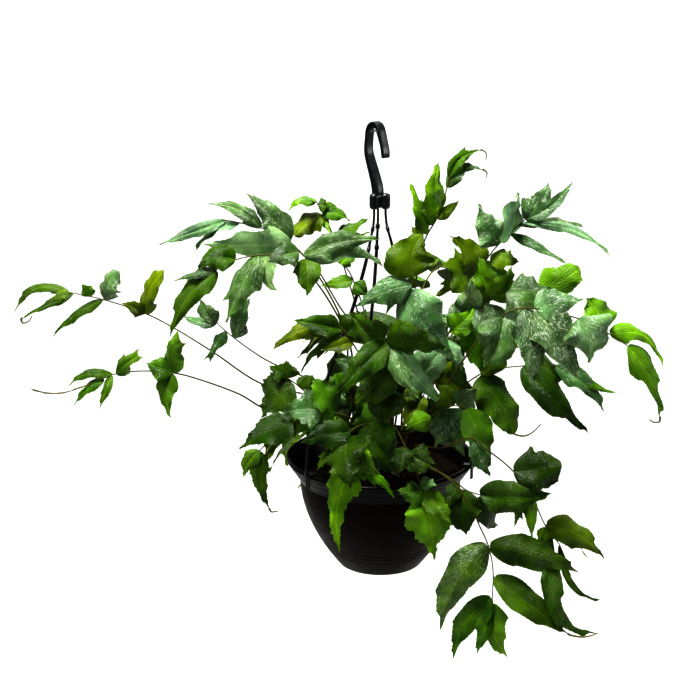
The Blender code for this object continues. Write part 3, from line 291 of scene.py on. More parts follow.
# Each frond laid out in the front view has a stalk and leaflets. All tables name a frond by its node's
# name without "frond_". A stalk point is (x, y, toward): x and y in pixels of the view, from its top left
# corner, and toward in mm, from the pot's axis to the viewer. A leaflet is (foot x, foot y, tip x, tip y,
# width, lead) or the same and a bow: the width in pixels, the lead in mm, by which the tip is nearer to
# the viewer than the foot, and the bow as a part of the length.
FRONT_FRONDS = {
    "far_left_high": (
        ((318, 398, 5), (262, 384, 0), (213, 352, -8), (174, 328, -14), (144, 313, -18), (105, 300, -20),
         (68, 292, -20)),
        ((148, 314, 164, 270, 17, 8), (146, 313, 121, 303, 14, 4), (105, 300, 120, 272, 20, 6),
         (104, 300, 51, 338, 12, 10), (90, 298, 82, 284, 13, 4), (73, 293, 21, 319, 8, 8, 0.05),
         (68, 292, 13, 315, 10, -6, -0.29), (66, 292, 50, 302, 9, 10))),
    "far_left_low": (
        ((322, 425, 25), (268, 410, 28), (239, 394, 30), (201, 380, 32), (174, 373, 33), (142, 371, 34),
         (115, 374, 34), (98, 380, 34)),
        ((176, 374, 182, 338, 25, 6), (172, 373, 171, 418, 22, 10), (172, 373, 146, 363, 20, 4),
         (117, 374, 141, 353, 15, 4), (113, 374, 67, 387, 9, -4, -0.1), (104, 378, 74, 405, 9, 6),
         (98, 380, 20, 384, 3.5, 2, 0.18), (112, 375, 99, 409, 8, 8))),
    "upper_left": (
        ((345, 330, 10), (318, 275, 5), (291, 243, 0), (262, 228, -4), (235, 222, -6), (224, 220, -8)),
        ((262, 226, 207, 204, 15, -4), (291, 240, 245, 192, 20, -6), (226, 220, 159, 245, 12, 6),
         (240, 223, 194, 253, 12, 10), (291, 246, 200, 245, 22, 16))),
    "left_middle": (
        ((350, 345, 40), (322, 290, 42), (290, 258, 42), (262, 255, 42), (235, 260, 40), (216, 270, 40)),
        ((260, 256, 226, 323, 25, 16), (266, 256, 278, 292, 20, 10), (217, 270, 170, 338, 20, 10),
         (236, 260, 197, 275, 13, 2), (216, 270, 174, 281, 9, 4))),
    "left_low": (
        ((325, 388, 5), (274, 364, 2), (252, 351, 0), (228, 333, 0), (216, 322, 0)),
        ((232, 337, 250, 297, 18, 4), (226, 331, 207, 361, 10, 6), (217, 323, 200, 298, 18, -4),
         (216, 322, 181, 315, 10, 2))),
    "top_left": (
        ((362, 330, -50), (345, 270, -52), (330, 228, -50), (316, 201, -48)),
        ((316, 201, 288, 211, 9, 4, 0.42), (318, 205, 329, 207, 13, -3), (322, 212, 350, 221, 16, -4),
         (336, 240, 370, 217, 16, 4), (338, 246, 371, 232, 14, 10), (322, 216, 294, 236, 19, 12),
         (324, 218, 332, 234, 7, 12), (317, 202, 299, 209, 7, 12, 0.3))),
    "centre_left": (
        ((368, 352, 62), (338, 304, 62), (318, 270, 60), (307, 259, 58), (298, 251, 56)),
        ((303, 255, 382, 239, 16, 14), (310, 262, 384, 267, 16, 20), (306, 258, 307, 296, 25, 16),
         (299, 252, 268, 262, 17, 6))),
    "centre_left_low": (
        ((375, 385, 76), (352, 342, 80), (338, 325, 80), (326, 322, 78)),
        ((336, 325, 271, 351, 16, 10, 0.08), (332, 325, 306, 356, 9, 16), (342, 329, 292, 320, 20, 2),
         (352, 342, 320, 350, 12, 18), (346, 334, 366, 309, 30, -4))),
    "centre_high": (
        ((372, 340, 30), (352, 277, 28), (337, 261, 26)),
        ((352, 280, 320, 286, 12, 8), (354, 284, 369, 297, 15, 6), (340, 264, 358, 250, 15, -4))),
    "front_centre": (
        ((398, 380, 78), (403, 330, 92), (410, 292, 98), (414, 276, 98)),
        ((412, 284, 355, 307, 25, 12), (412, 288, 457, 360, 40, 14), (414, 277, 424, 232, 30, -8),
         (409, 294, 397, 306, 13, 16))),
    "front_middle": (
        ((390, 400, 92), (388, 365, 102), (386, 338, 104)),
        ((386, 342, 335, 395, 24, 12), (387, 347, 420, 400, 18, 22), (388, 341, 452, 411, 24, 10),
         (386, 338, 447, 349, 28, -8), (386, 339, 350, 312, 24, -8), (387, 368, 352, 404, 33, 6),
         (389, 388, 384, 430, 27, 8))),
    "centre_dark": (
        ((395, 410, 60), (410, 380, 64), (430, 352, 64), (452, 330, 60)),
        ((414, 374, 448, 336, 30, 4), (452, 331, 474, 308, 24, 2), (404, 390, 374, 364, 28, -4),
         (440, 342, 462, 372, 28, 8))),
    "top_centre": (
        ((412, 340, -35), (416, 280, -38), (424, 242, -38), (438, 216, -38), (447, 188, -36),
         (450, 176, -36)),
        ((428, 234, 409, 180, 13, 0), (438, 214, 439, 161, 14, -3), (450, 178, 482, 150, 13, 3, 0.25),
         (447, 188, 484, 170, 13, 6), (440, 205, 430, 192, 13, 4), (432, 225, 417, 210, 14, 8),
         (424, 242, 411, 226, 15, 10), (436, 218, 460, 200, 11, -4))),
    "upper_right": (
        ((425, 385, -10), (455, 320, -12), (485, 262, -12), (508, 235, -10), (526, 219, -8)),
        ((526, 219, 549, 182, 26, -4), (526, 219, 574, 180, 14, 6), (518, 226, 589, 229, 9, 2),
         (522, 223, 617, 262, 8, 10, 0.08), (510, 233, 570, 266, 12, 14), (500, 245, 478, 204, 28, -2),
         (506, 237, 518, 194, 26, -8), (492, 254, 520, 262, 20, 12), (480, 270, 450, 236, 30, 4),
         (474, 285, 440, 262, 30, 8))),
    "right_middle": (
        ((428, 395, 25), (450, 345, 30), (475, 305, 34), (505, 290, 36), (540, 290, 36)),
        ((506, 291, 554, 288, 34, 6), (540, 290, 580, 268, 32, -4), (480, 302, 478, 256, 28, -6),
         (466, 318, 472, 278, 26, 6), (490, 297, 512, 266, 28, -8), (468, 314, 436, 318, 28, 10),
         (480, 303, 500, 352, 34, 4), (515, 290, 530, 350, 26, -6), (464, 322, 489, 395, 28, 10))),
    "right": (
        ((432, 410, 70), (462, 362, 82), (497, 320, 90), (527, 308, 92), (580, 319, 92), (606, 332, 90),
         (628, 346, 88)),
        ((503, 317, 483, 368, 40, 16), (526, 308, 530, 383, 30, 18), (534, 309, 578, 380, 34, 14),
         (536, 309, 584, 299, 28, -8), (578, 318, 588, 363, 34, 12), (604, 331, 586, 298, 27, -8),
         (610, 333, 664, 370, 18, -4, 0.18), (628, 346, 660, 419, 31, 8, 0.14))),
    "right_low": (
        ((425, 415, 40), (455, 392, 46), (485, 372, 48), (522, 366, 48), (556, 366, 46)),
        ((522, 367, 589, 434, 30, 12), (505, 369, 484, 340, 30, -6), (478, 378, 514, 434, 35, 16),
         (556, 366, 605, 413, 14, 6), (556, 366, 618, 394, 12, -4), (550, 366, 581, 388, 15, 14),
         (540, 366, 530, 336, 24, -8), (466, 385, 452, 352, 26, 4))),
    "lower_right": (
        ((440, 448, 95), (470, 438, 112), (486, 449, 118), (510, 468, 120), (530, 492, 122),
         (545, 525, 122), (560, 545, 120)),
        ((513, 471, 562, 465, 44, 4), (474, 441, 491, 478, 17, 8), (528, 489, 532, 540, 13, 6),
         (524, 485, 514, 528, 11, 10), (545, 525, 604, 559, 26, -4, 0.13), (546, 528, 588, 558, 14, 6),
         (550, 533, 598, 634, 19, -8, -0.2), (560, 545, 604, 601, 10, 4, -0.12),
         (546, 528, 540, 550, 13, 4))),
    "lower_right_inner": (
        ((428, 466, 112), (453, 480, 120), (468, 491, 122), (490, 497, 122)),
        ((478, 496, 553, 493, 29, 4), (481, 496, 497, 526, 28, 8), (466, 490, 467, 535, 38, 10),
         (458, 484, 444, 512, 14, 6))),
    "bottom_right": (
        ((418, 462, 118), (445, 476, 132), (468, 502, 136), (480, 527, 136), (488, 545, 136),
         (493, 570, 136), (492, 604, 136)),
        ((487, 543, 440, 630, 34, 8, -0.18), (489, 546, 580, 573, 27, -4, 0.06),
         (493, 576, 570, 635, 26, 6, 0.03), (492, 598, 453, 660, 25, 10, -0.2),
         (492, 603, 508, 658, 30, 2), (491, 603, 477, 654, 17, 8))),
    "left_front": (
        ((340, 415, 48), (313, 398, 52), (296, 384, 52), (284, 376, 52)),
        ((292, 381, 261, 418, 33, 6), (287, 378, 286, 360, 20, -4), (287, 378, 269, 366, 16, 0),
         (301, 388, 313, 375, 17, -6), (315, 400, 314, 380, 13, 4))),
    "left_rim": (
        ((350, 418, 88), (322, 412, 96), (298, 420, 100), (275, 436, 98), (258, 452, 94)),
        ((330, 413, 280, 414, 33, 8), (336, 415, 313, 376, 36, -4), (296, 422, 239, 449, 26, 8),
         (260, 450, 270, 510, 14, 8), (260, 451, 244, 478, 13, 2), (318, 413, 294, 438, 20, 14),
         (338, 415, 319, 433, 20, 14))),
    "pot_front_left": (
        ((378, 425, 96), (366, 424, 112), (352, 430, 120), (344, 442, 123), (352, 466, 125)),
        ((350, 431, 299, 443, 26, 2), (343, 441, 381, 476, 27, 10), (352, 465, 340, 552, 30, 4),
         (345, 444, 317, 470, 13, 8), (352, 465, 394, 498, 19, 2), (347, 436, 350, 489, 46, -6),
         (366, 425, 400, 478, 36, 2))),
    "pot_front_right": (
        ((392, 425, 98), (402, 440, 116), (415, 468, 124), (424, 497, 126)),
        ((424, 496, 434, 560, 38, 6), (423, 492, 452, 526, 18, 2), (408, 453, 437, 468, 24, 6),
         (422, 491, 397, 490, 20, 6), (420, 484, 437, 486, 12, 10), (405, 447, 400, 474, 18, 12))),
    "centre_low": (
        ((395, 430, 70), (385, 412, 84), (378, 398, 88)),
        ((386, 413, 352, 424, 22, 8), (380, 402, 398, 388, 20, 6))),
    "inner_left": (
        ((362, 420, 22), (346, 398, 26), (334, 388, 28)),
        ((346, 397, 374, 396, 26, 6), (336, 390, 352, 370, 20, 6), (334, 388, 314, 384, 20, 0),
         (338, 392, 304, 400, 22, 8), (352, 405, 318, 428, 24, 6))),
    "inner_right": (
        ((408, 420, 18), (428, 385, 22), (444, 348, 24)),
        ((436, 368, 476, 388, 30, 6), (444, 350, 430, 312, 28, 0), (426, 388, 392, 372, 28, 8),
         (440, 356, 474, 336, 26, -6), (416, 405, 456, 424, 30, 8), (422, 395, 402, 430, 24, 12))),
    "inner_front": (
        ((385, 425, 50), (376, 395, 54), (362, 370, 56)),
        ((374, 392, 410, 378, 24, 6), (364, 373, 334, 358, 22, 4), (363, 371, 380, 342, 22, -6),
         (380, 410, 344, 432, 26, 8))),
    "right_rim": (
        ((412, 432, 56), (432, 416, 72), (452, 406, 84), (468, 408, 88)),
        ((440, 411, 464, 456, 36, 12), (468, 408, 488, 474, 26, 4), (430, 416, 404, 430, 20, 10),
         (458, 406, 478, 388, 24, -6), (450, 406, 438, 384, 20, -4))),
}

# Each frond on the sides away from the viewer follows a rule: its azimuth in degrees, its reach from the
# pot's axis, its height at the top of its arch and at its tip above the rim, all in mm, and its leaflets
BACK_FRONDS = {
    "back_right_side": (18, 190, 135, 105, 6),
    "back_right": (42, 270, 130, 60, 7),
    "back_right_high": (58, 215, 190, 150, 6),
    "back_right_low": (74, 215, 45, -95, 6),
    "back": (88, 270, 100, 0, 7),
    "back_low": (104, 205, 40, -110, 6),
    "back_left_high": (108, 150, 130, 75, 6),
    "back_left": (133, 150, 50, -10, 6),
    "back_left_side": (150, 95, 50, 10, 5),
    "back_inner": (75, 120, 120, 100, 5),
}

# A back frond's arch after its foot: the part of its reach, the shares of its top and end heights and a
# rise in mm
ARCH = ((0.25, 0.55, 0.0, 12), (0.45, 0.9, 0.0, 6), (0.65, 1.0, 0.0, 0), (0.85, 0.55, 0.55, 0),
        (1.0, 0.0, 1.0, 0))
# Its leaflets: where the first and the last one stand, the longest one's length, by how much they get
# shorter to both ends, and the ranges of their length, slant forward, slant down and width
LEAFLET_SPAN = (0.42, 0.98)
LEAFLET_LENGTH = 92 * MM
LEAFLET_TAPER = 26 * MM
LEAFLET_LENGTHS = (0.85, 1.1)
LEAFLET_SLANTS = (0.35, 0.7)
LEAFLET_DROPS = (-0.75, -0.15)
LEAFLET_WIDTHS = (0.32, 0.42)

# What a tint letter stands for: the colour's setting and the shares of painted sheen and glints and of
# stripes
LOOKS = {
    "g": ("grey", 0.6, 0.0), "s": ("grey", 1.0, 0.0), "w": ("pale", 0.8, 0.0), "x": ("palest", 0.8, 0.0),
    "h": ("half", 0.4, 0.0), "q": ("glossy", 0.42, 0.0), "m": ("mid", 0.14, 0.0),
    "k": ("dusky", 0.11, 0.0), "d": ("deep", 0.03, 0.0), "o": ("olive_painted_glow", 0.03, 0.0),
    "n": ("dry", 0.03, 0.0), "b": ("bright", 0.16, 0.12), "j": ("bright", 0.03, 0.0),
    "y": ("bright", 0.03, 0.55), "v": ("bright", 0.03, 0.55),
}
# The letters of glossy and of slim leaflets, and the ranges of a tint's value and warmth
GLOSSY_TINTS = "gswxhq"
SLIM_TINTS = "jv"
TINT_VALUES = (0.8, 1.2)
TINT_WARMTHS = (0.88, 1.12)
# The tint letter of each leaflet of the fronds above, in their order. A capital gives a blunt end with
# two horns. Many letters were set to how light or dark a leaflet looks as it is lit or shaded, so a
# paler letter is partly painted light and a darker one partly painted shade.
TINTS = {
    "far_left_high": "oogkbkko",
    "far_left_low": "BmmMkmnm",
    "upper_left": "gggwx",
    "left_middle": "hwkkh",
    "left_low": "hHgg",
    "top_left": "bkmmoobb",
    "centre_left": "hgmh",
    "centre_left_low": "ookod",
    "centre_high": "mkb",
    "front_centre": "hgom",
    "front_middle": "kgxkkkk",
    "centre_dark": "xbdx",
    "top_centre": "bbmhbboo",
    "upper_right": "sgsxgsxooo",
    "right_middle": "hymxmswxb",
    "right": "hssswyvv",
    "right_low": "domhmddm",
    "lower_right": "dhbmommky",
    "lower_right_inner": "kddd",
    "bottom_right": "qkkmbm",
    "left_front": "kkkkd",
    "left_rim": "hmdmmmb",
    "pot_front_left": "dbjbjdk",
    "pot_front_right": "bmkmhk",
    "centre_low": "bd",
    "inner_left": "kbmdd",
    "inner_right": "ododmo",
    "inner_front": "dgdm",
    "right_rim": "hmbho",
    "back_inner": "ddddd",
}
BACK_TINTS = "mmdgmobdm"

# The looks of a blade: the steps in cm between its veins, ridges and stripes, the colours laid over its
# tint, the tones that its tint is multiplied by, and the share of light that goes through
VEIN_STEP = 0.17
RIDGE_STEP = 0.52
STRIPE_STEP = 0.24
# Painted light shining through a leaflet between its veins, laid on as yellow stripes
STRIPE_YELLOW = (0.34, 0.50, 0.03)
# Painted highlight: the creams of a sheen in streaks and of glints in spots on the leaflets
PAINTED_SHEEN_CREAM = (0.66, 0.72, 0.55)
PAINTED_GLINT_CREAM = (0.60, 0.66, 0.46)
UNDERSIDE_GREEN = (0.105, 0.150, 0.018)
LIGHT_TONE = (1.55, 1.45, 1.3)
DARK_TONE = (0.50, 0.60, 0.50)
VEIN_TONE = (0.55, 0.62, 0.5)
RIB_TONE = (1.9, 1.6, 1.5)
EDGE_TONE = (1.8, 1.6, 0.9)
GLOW_TONE = (1.7, 1.9, 0.45)
THROUGH_SHARE = 0.22

# The other finishes: a stalk's scales, dust on the plastics, their black where they are glossier, a
# height above everything, and the dark and light browns of compost and crown, darkened as painted
# shade inside the pot, with the painted shade in their hollows
STALK_SCALES = (0.02, 0.012, 0.005)
POT_DUST = (0.018, 0.011, 0.004)
HOOK_DUST = (0.020, 0.021, 0.024)
STRAND_DUST = (0.020, 0.020, 0.020)
GLOSSY_BLACK = (0.0015, 0.0015, 0.0018)
ABOVE_ALL = 0.1
# Painted shade: the compost's and the crown's browns are darkened to stand for the shade in the pot
COMPOST_BROWNS_WITH_PAINTED_SHADE = ((0.0022, 0.0014, 0.0008), (0.009, 0.0055, 0.0027))
CROWN_BROWNS_WITH_PAINTED_SHADE = ((0.006, 0.0032, 0.0016), (0.024, 0.0125, 0.0055))
SOIL_SHADE = (0.008, 0.006, 0.004)


def size_setting(name, description, default, unit="LENGTH"):
    """A size, number or strength that a user may change."""
    return bpy.props.FloatProperty(name=name, description=description, default=default, unit=unit)


def colour_setting(name, description, *colour):
    """A colour that a user may change."""
    return bpy.props.FloatVectorProperty(name=name, description=description, default=colour,
                                         subtype="COLOR")


class FernPotSettings(bpy.types.PropertyGroup):
    """Sizes and colours of the pot and its hanger."""

    rim_radius: size_setting("Rim radius", "Radius of the pot's rim", RIM_RADIUS)
    wall: size_setting("Wall", "Thickness of the pot's wall", 2.2 * MM)
    groove: size_setting("Groove", "Depth of the fine grooves round the bowl", 0.35 * MM)
    strand_radius: size_setting("Strand radius", "Radius of a hanger strand", 1.7 * MM)
    collar_radius: size_setting("Collar radius", "Radius of the ring collars on a strand", 2.6 * MM)
    pot_colour: colour_setting("Pot colour", "The pot's plastic", 0.0046, 0.0030, 0.0012)
    hook_colour: colour_setting("Hook colour", "The hook's plastic", 0.0028, 0.0032, 0.0042)
    hanger_colour: colour_setting("Hanger colour", "The hanger's plastic", 0.006, 0.0065, 0.008)


class FernLeafSettings(bpy.types.PropertyGroup):
    """Sizes and colours of the fronds."""

    blade: size_setting("Blade", "Thickness of a leaflet along its midrib", 0.5 * MM)
    tooth: size_setting("Tooth", "Depth of the fine teeth on a leaflet's edge", 0.55 * MM)
    tooth_step: size_setting("Tooth step", "Distance between the fine teeth", 3.4 * MM)
    cells: bpy.props.IntProperty(name="Cells", description="Rows of faces along a leaflet", default=24)
    # Grey, pale, palest and half grey are partly painted reflection of the light surround on leaflets
    # that face up
    grey: colour_setting("Grey", "Glossy grey-green leaflets", 0.066, 0.150, 0.048)
    mid: colour_setting("Mid", "Mid green leaflets", 0.054, 0.134, 0.001)
    pale: colour_setting("Pale", "Pale grey-green leaflets", 0.105, 0.210, 0.085)
    palest: colour_setting("Palest", "The palest grey-green leaflets", 0.20, 0.36, 0.17)
    half: colour_setting("Half grey", "Leaflets between grey and mid green", 0.044, 0.110, 0.024)
    dusky: colour_setting("Dusky", "Leaflets between mid and deep green", 0.033, 0.080, 0.0005)
    dry: colour_setting("Dry", "Thin dry leaflets and tips", 0.052, 0.048, 0.004)
    # Bright is partly young growth and partly painted light shining through the leaflet
    bright: colour_setting("Bright", "Bright young leaflets", 0.120, 0.275, 0.003)
    glossy: colour_setting("Glossy", "Mid green leaflets that shine", 0.090, 0.175, 0.008)
    deep: colour_setting("Deep", "Deep green leaflets", 0.0165, 0.044, 0.0004)
    # Olive is painted light shining through the leaflet, set as its colour
    olive_painted_glow: colour_setting("Olive", "Leaflets that light comes through", 0.080, 0.132, 0.001)
    stalk_brown: colour_setting("Stalk foot", "Colour of a stalk's foot", 0.026, 0.015, 0.004)
    stalk_green: colour_setting("Stalk tip", "Colour of a stalk's tip", 0.066, 0.068, 0.006)


class FernSoilSettings(bpy.types.PropertyGroup):
    """Sizes and numbers of the compost's crumbs and the crown's scales."""

    crumbs: size_setting("Crumbs", "Compost crumbs on a square metre", 62000.0, "NONE")
    crumb_size: size_setting("Crumb size", "Radius of a large compost crumb", 2.0 * MM)
    scales: size_setting("Scales", "Crown scales on a square metre", 130000.0, "NONE")
    scale_length: size_setting("Scale length", "Length of a crown scale", 7.0 * MM)
    seed: bpy.props.IntProperty(name="Seed", description="Seed of the scattered crumbs and scales",
                                default=7)


class FernStageSettings(bpy.types.PropertyGroup):
    """The stage's colour and the lights' strength."""

    backdrop: colour_setting("Backdrop", "Colour of the floor and the wall", 0.86, 0.86, 0.85)
    key_power: size_setting("Light above", "Power of the large light above", 94.0, "POWER")
    fill_power: size_setting("Light at the left", "Power of the light to the left", 17.5, "POWER")
    side_power: size_setting("Light at the right", "Power of the light to the right", 11.5, "POWER")
    wall_power: size_setting("Light on the wall", "Power of the light on the wall", 34.0, "POWER")
    drop: size_setting("Drop", "How far the floor is below the fern", 1.05)
    surround: size_setting("Surround", "Strength of the pale surround", 0.14, "NONE")


def scene_object(name, data):
    """A new object of the scene."""
    thing = bpy.data.objects.new(name, data)
    bpy.context.scene.collection.objects.link(thing)
    return thing


def mesh_object(name, points, faces, materials):
    """An object of the given points and faces, which already point outward."""
    mesh = bpy.data.meshes.new(name)
    mesh.from_pydata(np.asarray(points).tolist(), [], faces)
    for material in materials:
        mesh.materials.append(material)
    return scene_object(name, mesh)


def smooth_shade(thing, crease):
    """Round faces shaded smooth, with sharp edges past a crease angle in degrees."""
    thing.data.shade_smooth()
    thing.data.set_sharp_from_angle(angle=radians(crease))


def recalculate(thing):
    """Merge doubles and turn the faces outward."""
    shape = bmesh.new()
    shape.from_mesh(thing.data)
    bmesh.ops.remove_doubles(shape, verts=shape.verts, dist=0.005 * MM)
    bmesh.ops.recalc_face_normals(shape, faces=shape.faces)
    shape.to_mesh(thing.data)
    shape.free()


def finish_piece(thing, slot, *nodes):
    """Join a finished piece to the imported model."""
    thing.data.transform(Matrix.Translation(-HANG_PLACE))
    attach(thing, "root")
    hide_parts(*nodes)


def plain_copy(thing):
    """The evaluated object as a plain mesh, in place of its modifiers or its curve."""
    bpy.context.view_layer.update()
    graph = bpy.context.evaluated_depsgraph_get()
    mesh = bpy.data.meshes.new_from_object(thing.evaluated_get(graph))
    name = thing.name
    bpy.data.objects.remove(thing, do_unlink=True)
    return scene_object(name, mesh)


def outward_at(azimuth):
    """The level direction at an azimuth in degrees."""
    angle = radians(azimuth)
    return Vector((cos(angle), sin(angle), 0))


def turned_points(profile, sides):
    """Points and faces of a turned body; its profile of (radius, z) starts and ends on the axis."""
    points = [(0.0, 0.0, profile[0][1])]
    for radius, z in profile[1:-1]:
        for turn in range(sides):
            angle = tau * turn / sides
            points.append((radius * cos(angle), radius * sin(angle), z))
    points.append((0.0, 0.0, profile[-1][1]))
    last = len(points) - 1
    rings = len(profile) - 2
    faces = []
    for turn in range(sides):
        following = (turn + 1) % sides
        faces.append((0, 1 + turn, 1 + following))
        for ring in range(rings - 1):
            upper = 1 + ring * sides
            lower = upper + sides
            faces.append((upper + turn, lower + turn, lower + following, upper + following))
        bottom = 1 + (rings - 1) * sides
        faces.append((bottom + turn, last, bottom + following))
    return points, faces


def smooth_route(points, per_span):
    """Points along a Catmull-Rom curve through the given points."""
    ends = [2 * points[0] - points[1]] + list(points) + [2 * points[-1] - points[-2]]
    route = []
    for before, start, end, after in zip(ends, ends[1:], ends[2:], ends[3:]):
        for step in range(per_span):
            t = step / per_span
            route.append(0.5 * (2 * start + (end - before) * t
                                + (2 * before - 5 * start + 4 * end - after) * t * t
                                + (3 * start - before - 3 * end + after) * t ** 3))
    route.append(points[-1].copy())
    return route


def sweep(route, sections, first_across):
    """Points and faces of a closed bar: a section is a ring of (across, up) offsets at a route point."""
    count = len(sections[0])
    points = []
    across = first_across
    for index, centre in enumerate(route):
        ahead = route[min(index + 1, len(route) - 1)]
        behind = route[max(index - 1, 0)]
        along = (ahead - behind).normalized()
        across = (across - across.dot(along) * along).normalized()
        up = along.cross(across)
        points += [centre + across * side + up * rise for side, rise in sections[index]]
    faces = [tuple(reversed(range(count))), tuple(range(len(points) - count, len(points)))]
    for ring in range(len(route) - 1):
        for corner in range(count):
            following = (corner + 1) % count
            faces.append((ring * count + corner, ring * count + following,
                          (ring + 1) * count + following, (ring + 1) * count + corner))
    return points, faces


def ring_section(radius, sides):
    """A regular ring of section offsets."""
    angles = [tau * turn / sides for turn in range(sides)]
    return [(radius * cos(angle), radius * sin(angle)) for angle in angles]


def any_across(route):
    """A direction square to the start of a route."""
    along = (route[1] - route[0]).normalized()
    guide = Vector((0, 1, 0)) if abs(along.y) < 0.9 else Vector((1, 0, 0))
    return (guide - guide.dot(along) * along).normalized()


def view_axes():
    """The front view's eye point and its right, up and forward directions."""
    forward = Vector((0, cos(VIEW_DROP), -sin(VIEW_DROP)))
    up = Vector((0, sin(VIEW_DROP), cos(VIEW_DROP)))
    right = Vector((1, 0, 0))
    aside = (RIM_CENTRE_PIXEL[0] - VIEW_SIZE / 2) * VIEW_PIXEL
    below = (RIM_CENTRE_PIXEL[1] - VIEW_SIZE / 2) * VIEW_PIXEL
    eye = Vector((0, 0, RIM_Z)) - right * aside + up * below - forward * VIEW_DISTANCE
    return eye, right, up, forward


def seen_point(x, y, toward):
    """The point seen at a pixel of the front view, in the upright plane this far before the axis."""
    eye, right, up, forward = view_axes()
    focal = VIEW_DISTANCE / VIEW_PIXEL
    ray = forward + right * ((x - VIEW_SIZE / 2) / focal) + up * ((VIEW_SIZE / 2 - y) / focal)
    return eye + ray * ((-toward * MM - eye.y) / ray.y)


def seen_pixel(point):
    """The pixel of the front view at which a point is seen."""
    eye, right, up, forward = view_axes()
    focal = VIEW_DISTANCE / VIEW_PIXEL
    ray = point - eye
    return (VIEW_SIZE / 2 + focal * ray.dot(right) / ray.dot(forward),
            VIEW_SIZE / 2 - focal * ray.dot(up) / ray.dot(forward))


def arch_course(azimuth, reach, top, end):
    """A back frond's course after its foot: it rises, arches over and hangs."""
    course = []
    for part, top_share, end_share, rise in ARCH:
        height = top_share * top + end_share * end + rise
        course.append(outward_at(azimuth) * reach * part * MM + Vector((0, 0, RIM_Z + height * MM)))
    return course


def frond_courses():
    """The points that each frond's stalk goes through after it leaves the crown."""
    courses = {}
    for name, (stalk, _) in FRONT_FRONDS.items():
        courses[name] = [seen_point(*point) for point in stalk]
    for name, (azimuth, reach, top, end, _) in BACK_FRONDS.items():
        courses[name] = arch_course(azimuth, reach, top, end)
    return courses


def foot_choices(index, course):
    """Places on the crown for a stalk, from the side that its frond goes to and then further round."""
    angle = degrees(atan2(course[0].y, course[0].x))
    for attempt in range(FOOT_TRIES):
        turned = angle + FOOT_TURN * ((attempt + 1) // 2) * (-1) ** attempt
        foot = outward_at(turned) * FOOT_RADII[(index + attempt) % len(FOOT_RADII)]
        foot.z = COMPOST_Z + GAP + CROWN_FLOOR + GAP
        yield foot


def stalk_route(foot, course, shift):
    """A stalk's route from its hole in the crown along its course, which is moved by a shift."""
    top = Vector((foot.x, foot.y, COMPOST_Z + CROWN_HEIGHT + STALK_START))
    moved = [point + Vector((shift[1], -shift[0], 0)) * MM for point in course]
    rise = top.lerp(moved[0], STALK_SAG) + Vector((0, 0, STALK_LIFT * (moved[0] - top).length))
    return [foot, top, rise] + moved


def nearest_on(route, point):
    """The point of a route, short of its very end, that is nearest to a point."""
    best = None
    for start, end in zip(route, route[1:]):
        span = end - start
        part = max(0.0, min(1.0, (point - start).dot(span) / span.length_squared))
        found = start + span * part
        if best is None or (found - point).length < (best - point).length:
            best = found
    last = route[-1] + (route[-2] - route[-1]).normalized() * STALK_END
    return last if (best - route[-1]).length < STALK_END else best


def nearest_seen(route, x, y):
    """The point of a route that is seen nearest to a pixel of the front view."""
    steps = 20
    found = []
    for start, end in zip(route[1:], route[2:]):
        for step in range(steps + 1):
            point = start.lerp(end, step / steps)
            seen = seen_pixel(point)
            found.append((hypot(seen[0] - x, seen[1] - y), tuple(point)))
    return nearest_on(route, Vector(min(found)[1]))


def front_leaflets(name, route):
    """The foot, tip, width and bow of each leaflet of a frond that is laid out in the front view."""
    wanted = []
    for x, y, tip_x, tip_y, width, lead, *bow in FRONT_FRONDS[name][1]:
        foot = nearest_seen(route, x, y)
        tip = seen_point(tip_x, tip_y, -foot.y / MM + lead)
        wanted.append((foot, tip, width * VIEW_PIXEL, bow[0] if bow else None))
    return wanted


def back_leaflets(name, route, draw):
    """The same for a back frond, whose leaflets stand in turn on its two sides."""
    count = BACK_FRONDS[name][4]
    course = route[2:]
    first, last = LEAFLET_SPAN
    wanted = []
    for index in range(count):
        part = index / (count - 1)
        place = (first + (last - first) * part) * (len(course) - 1)
        low = min(int(place), len(course) - 2)
        foot = course[low].lerp(course[low + 1], place - low)
        along = (course[low + 1] - course[low]).normalized()
        side = along.cross(Vector((0, 0, 1))).normalized() * (1 if index % 2 else -1)
        if index == count - 1:
            side = side * 0.1
        length = (LEAFLET_LENGTH - LEAFLET_TAPER * abs(2 * part - 0.9)) * draw.uniform(*LEAFLET_LENGTHS)
        way = side + along * draw.uniform(*LEAFLET_SLANTS) + Vector((0, 0, draw.uniform(*LEAFLET_DROPS)))
        width = length * draw.uniform(*LEAFLET_WIDTHS)
        wanted.append((nearest_on(route, foot), foot + way.normalized() * length, width, None))
    return wanted


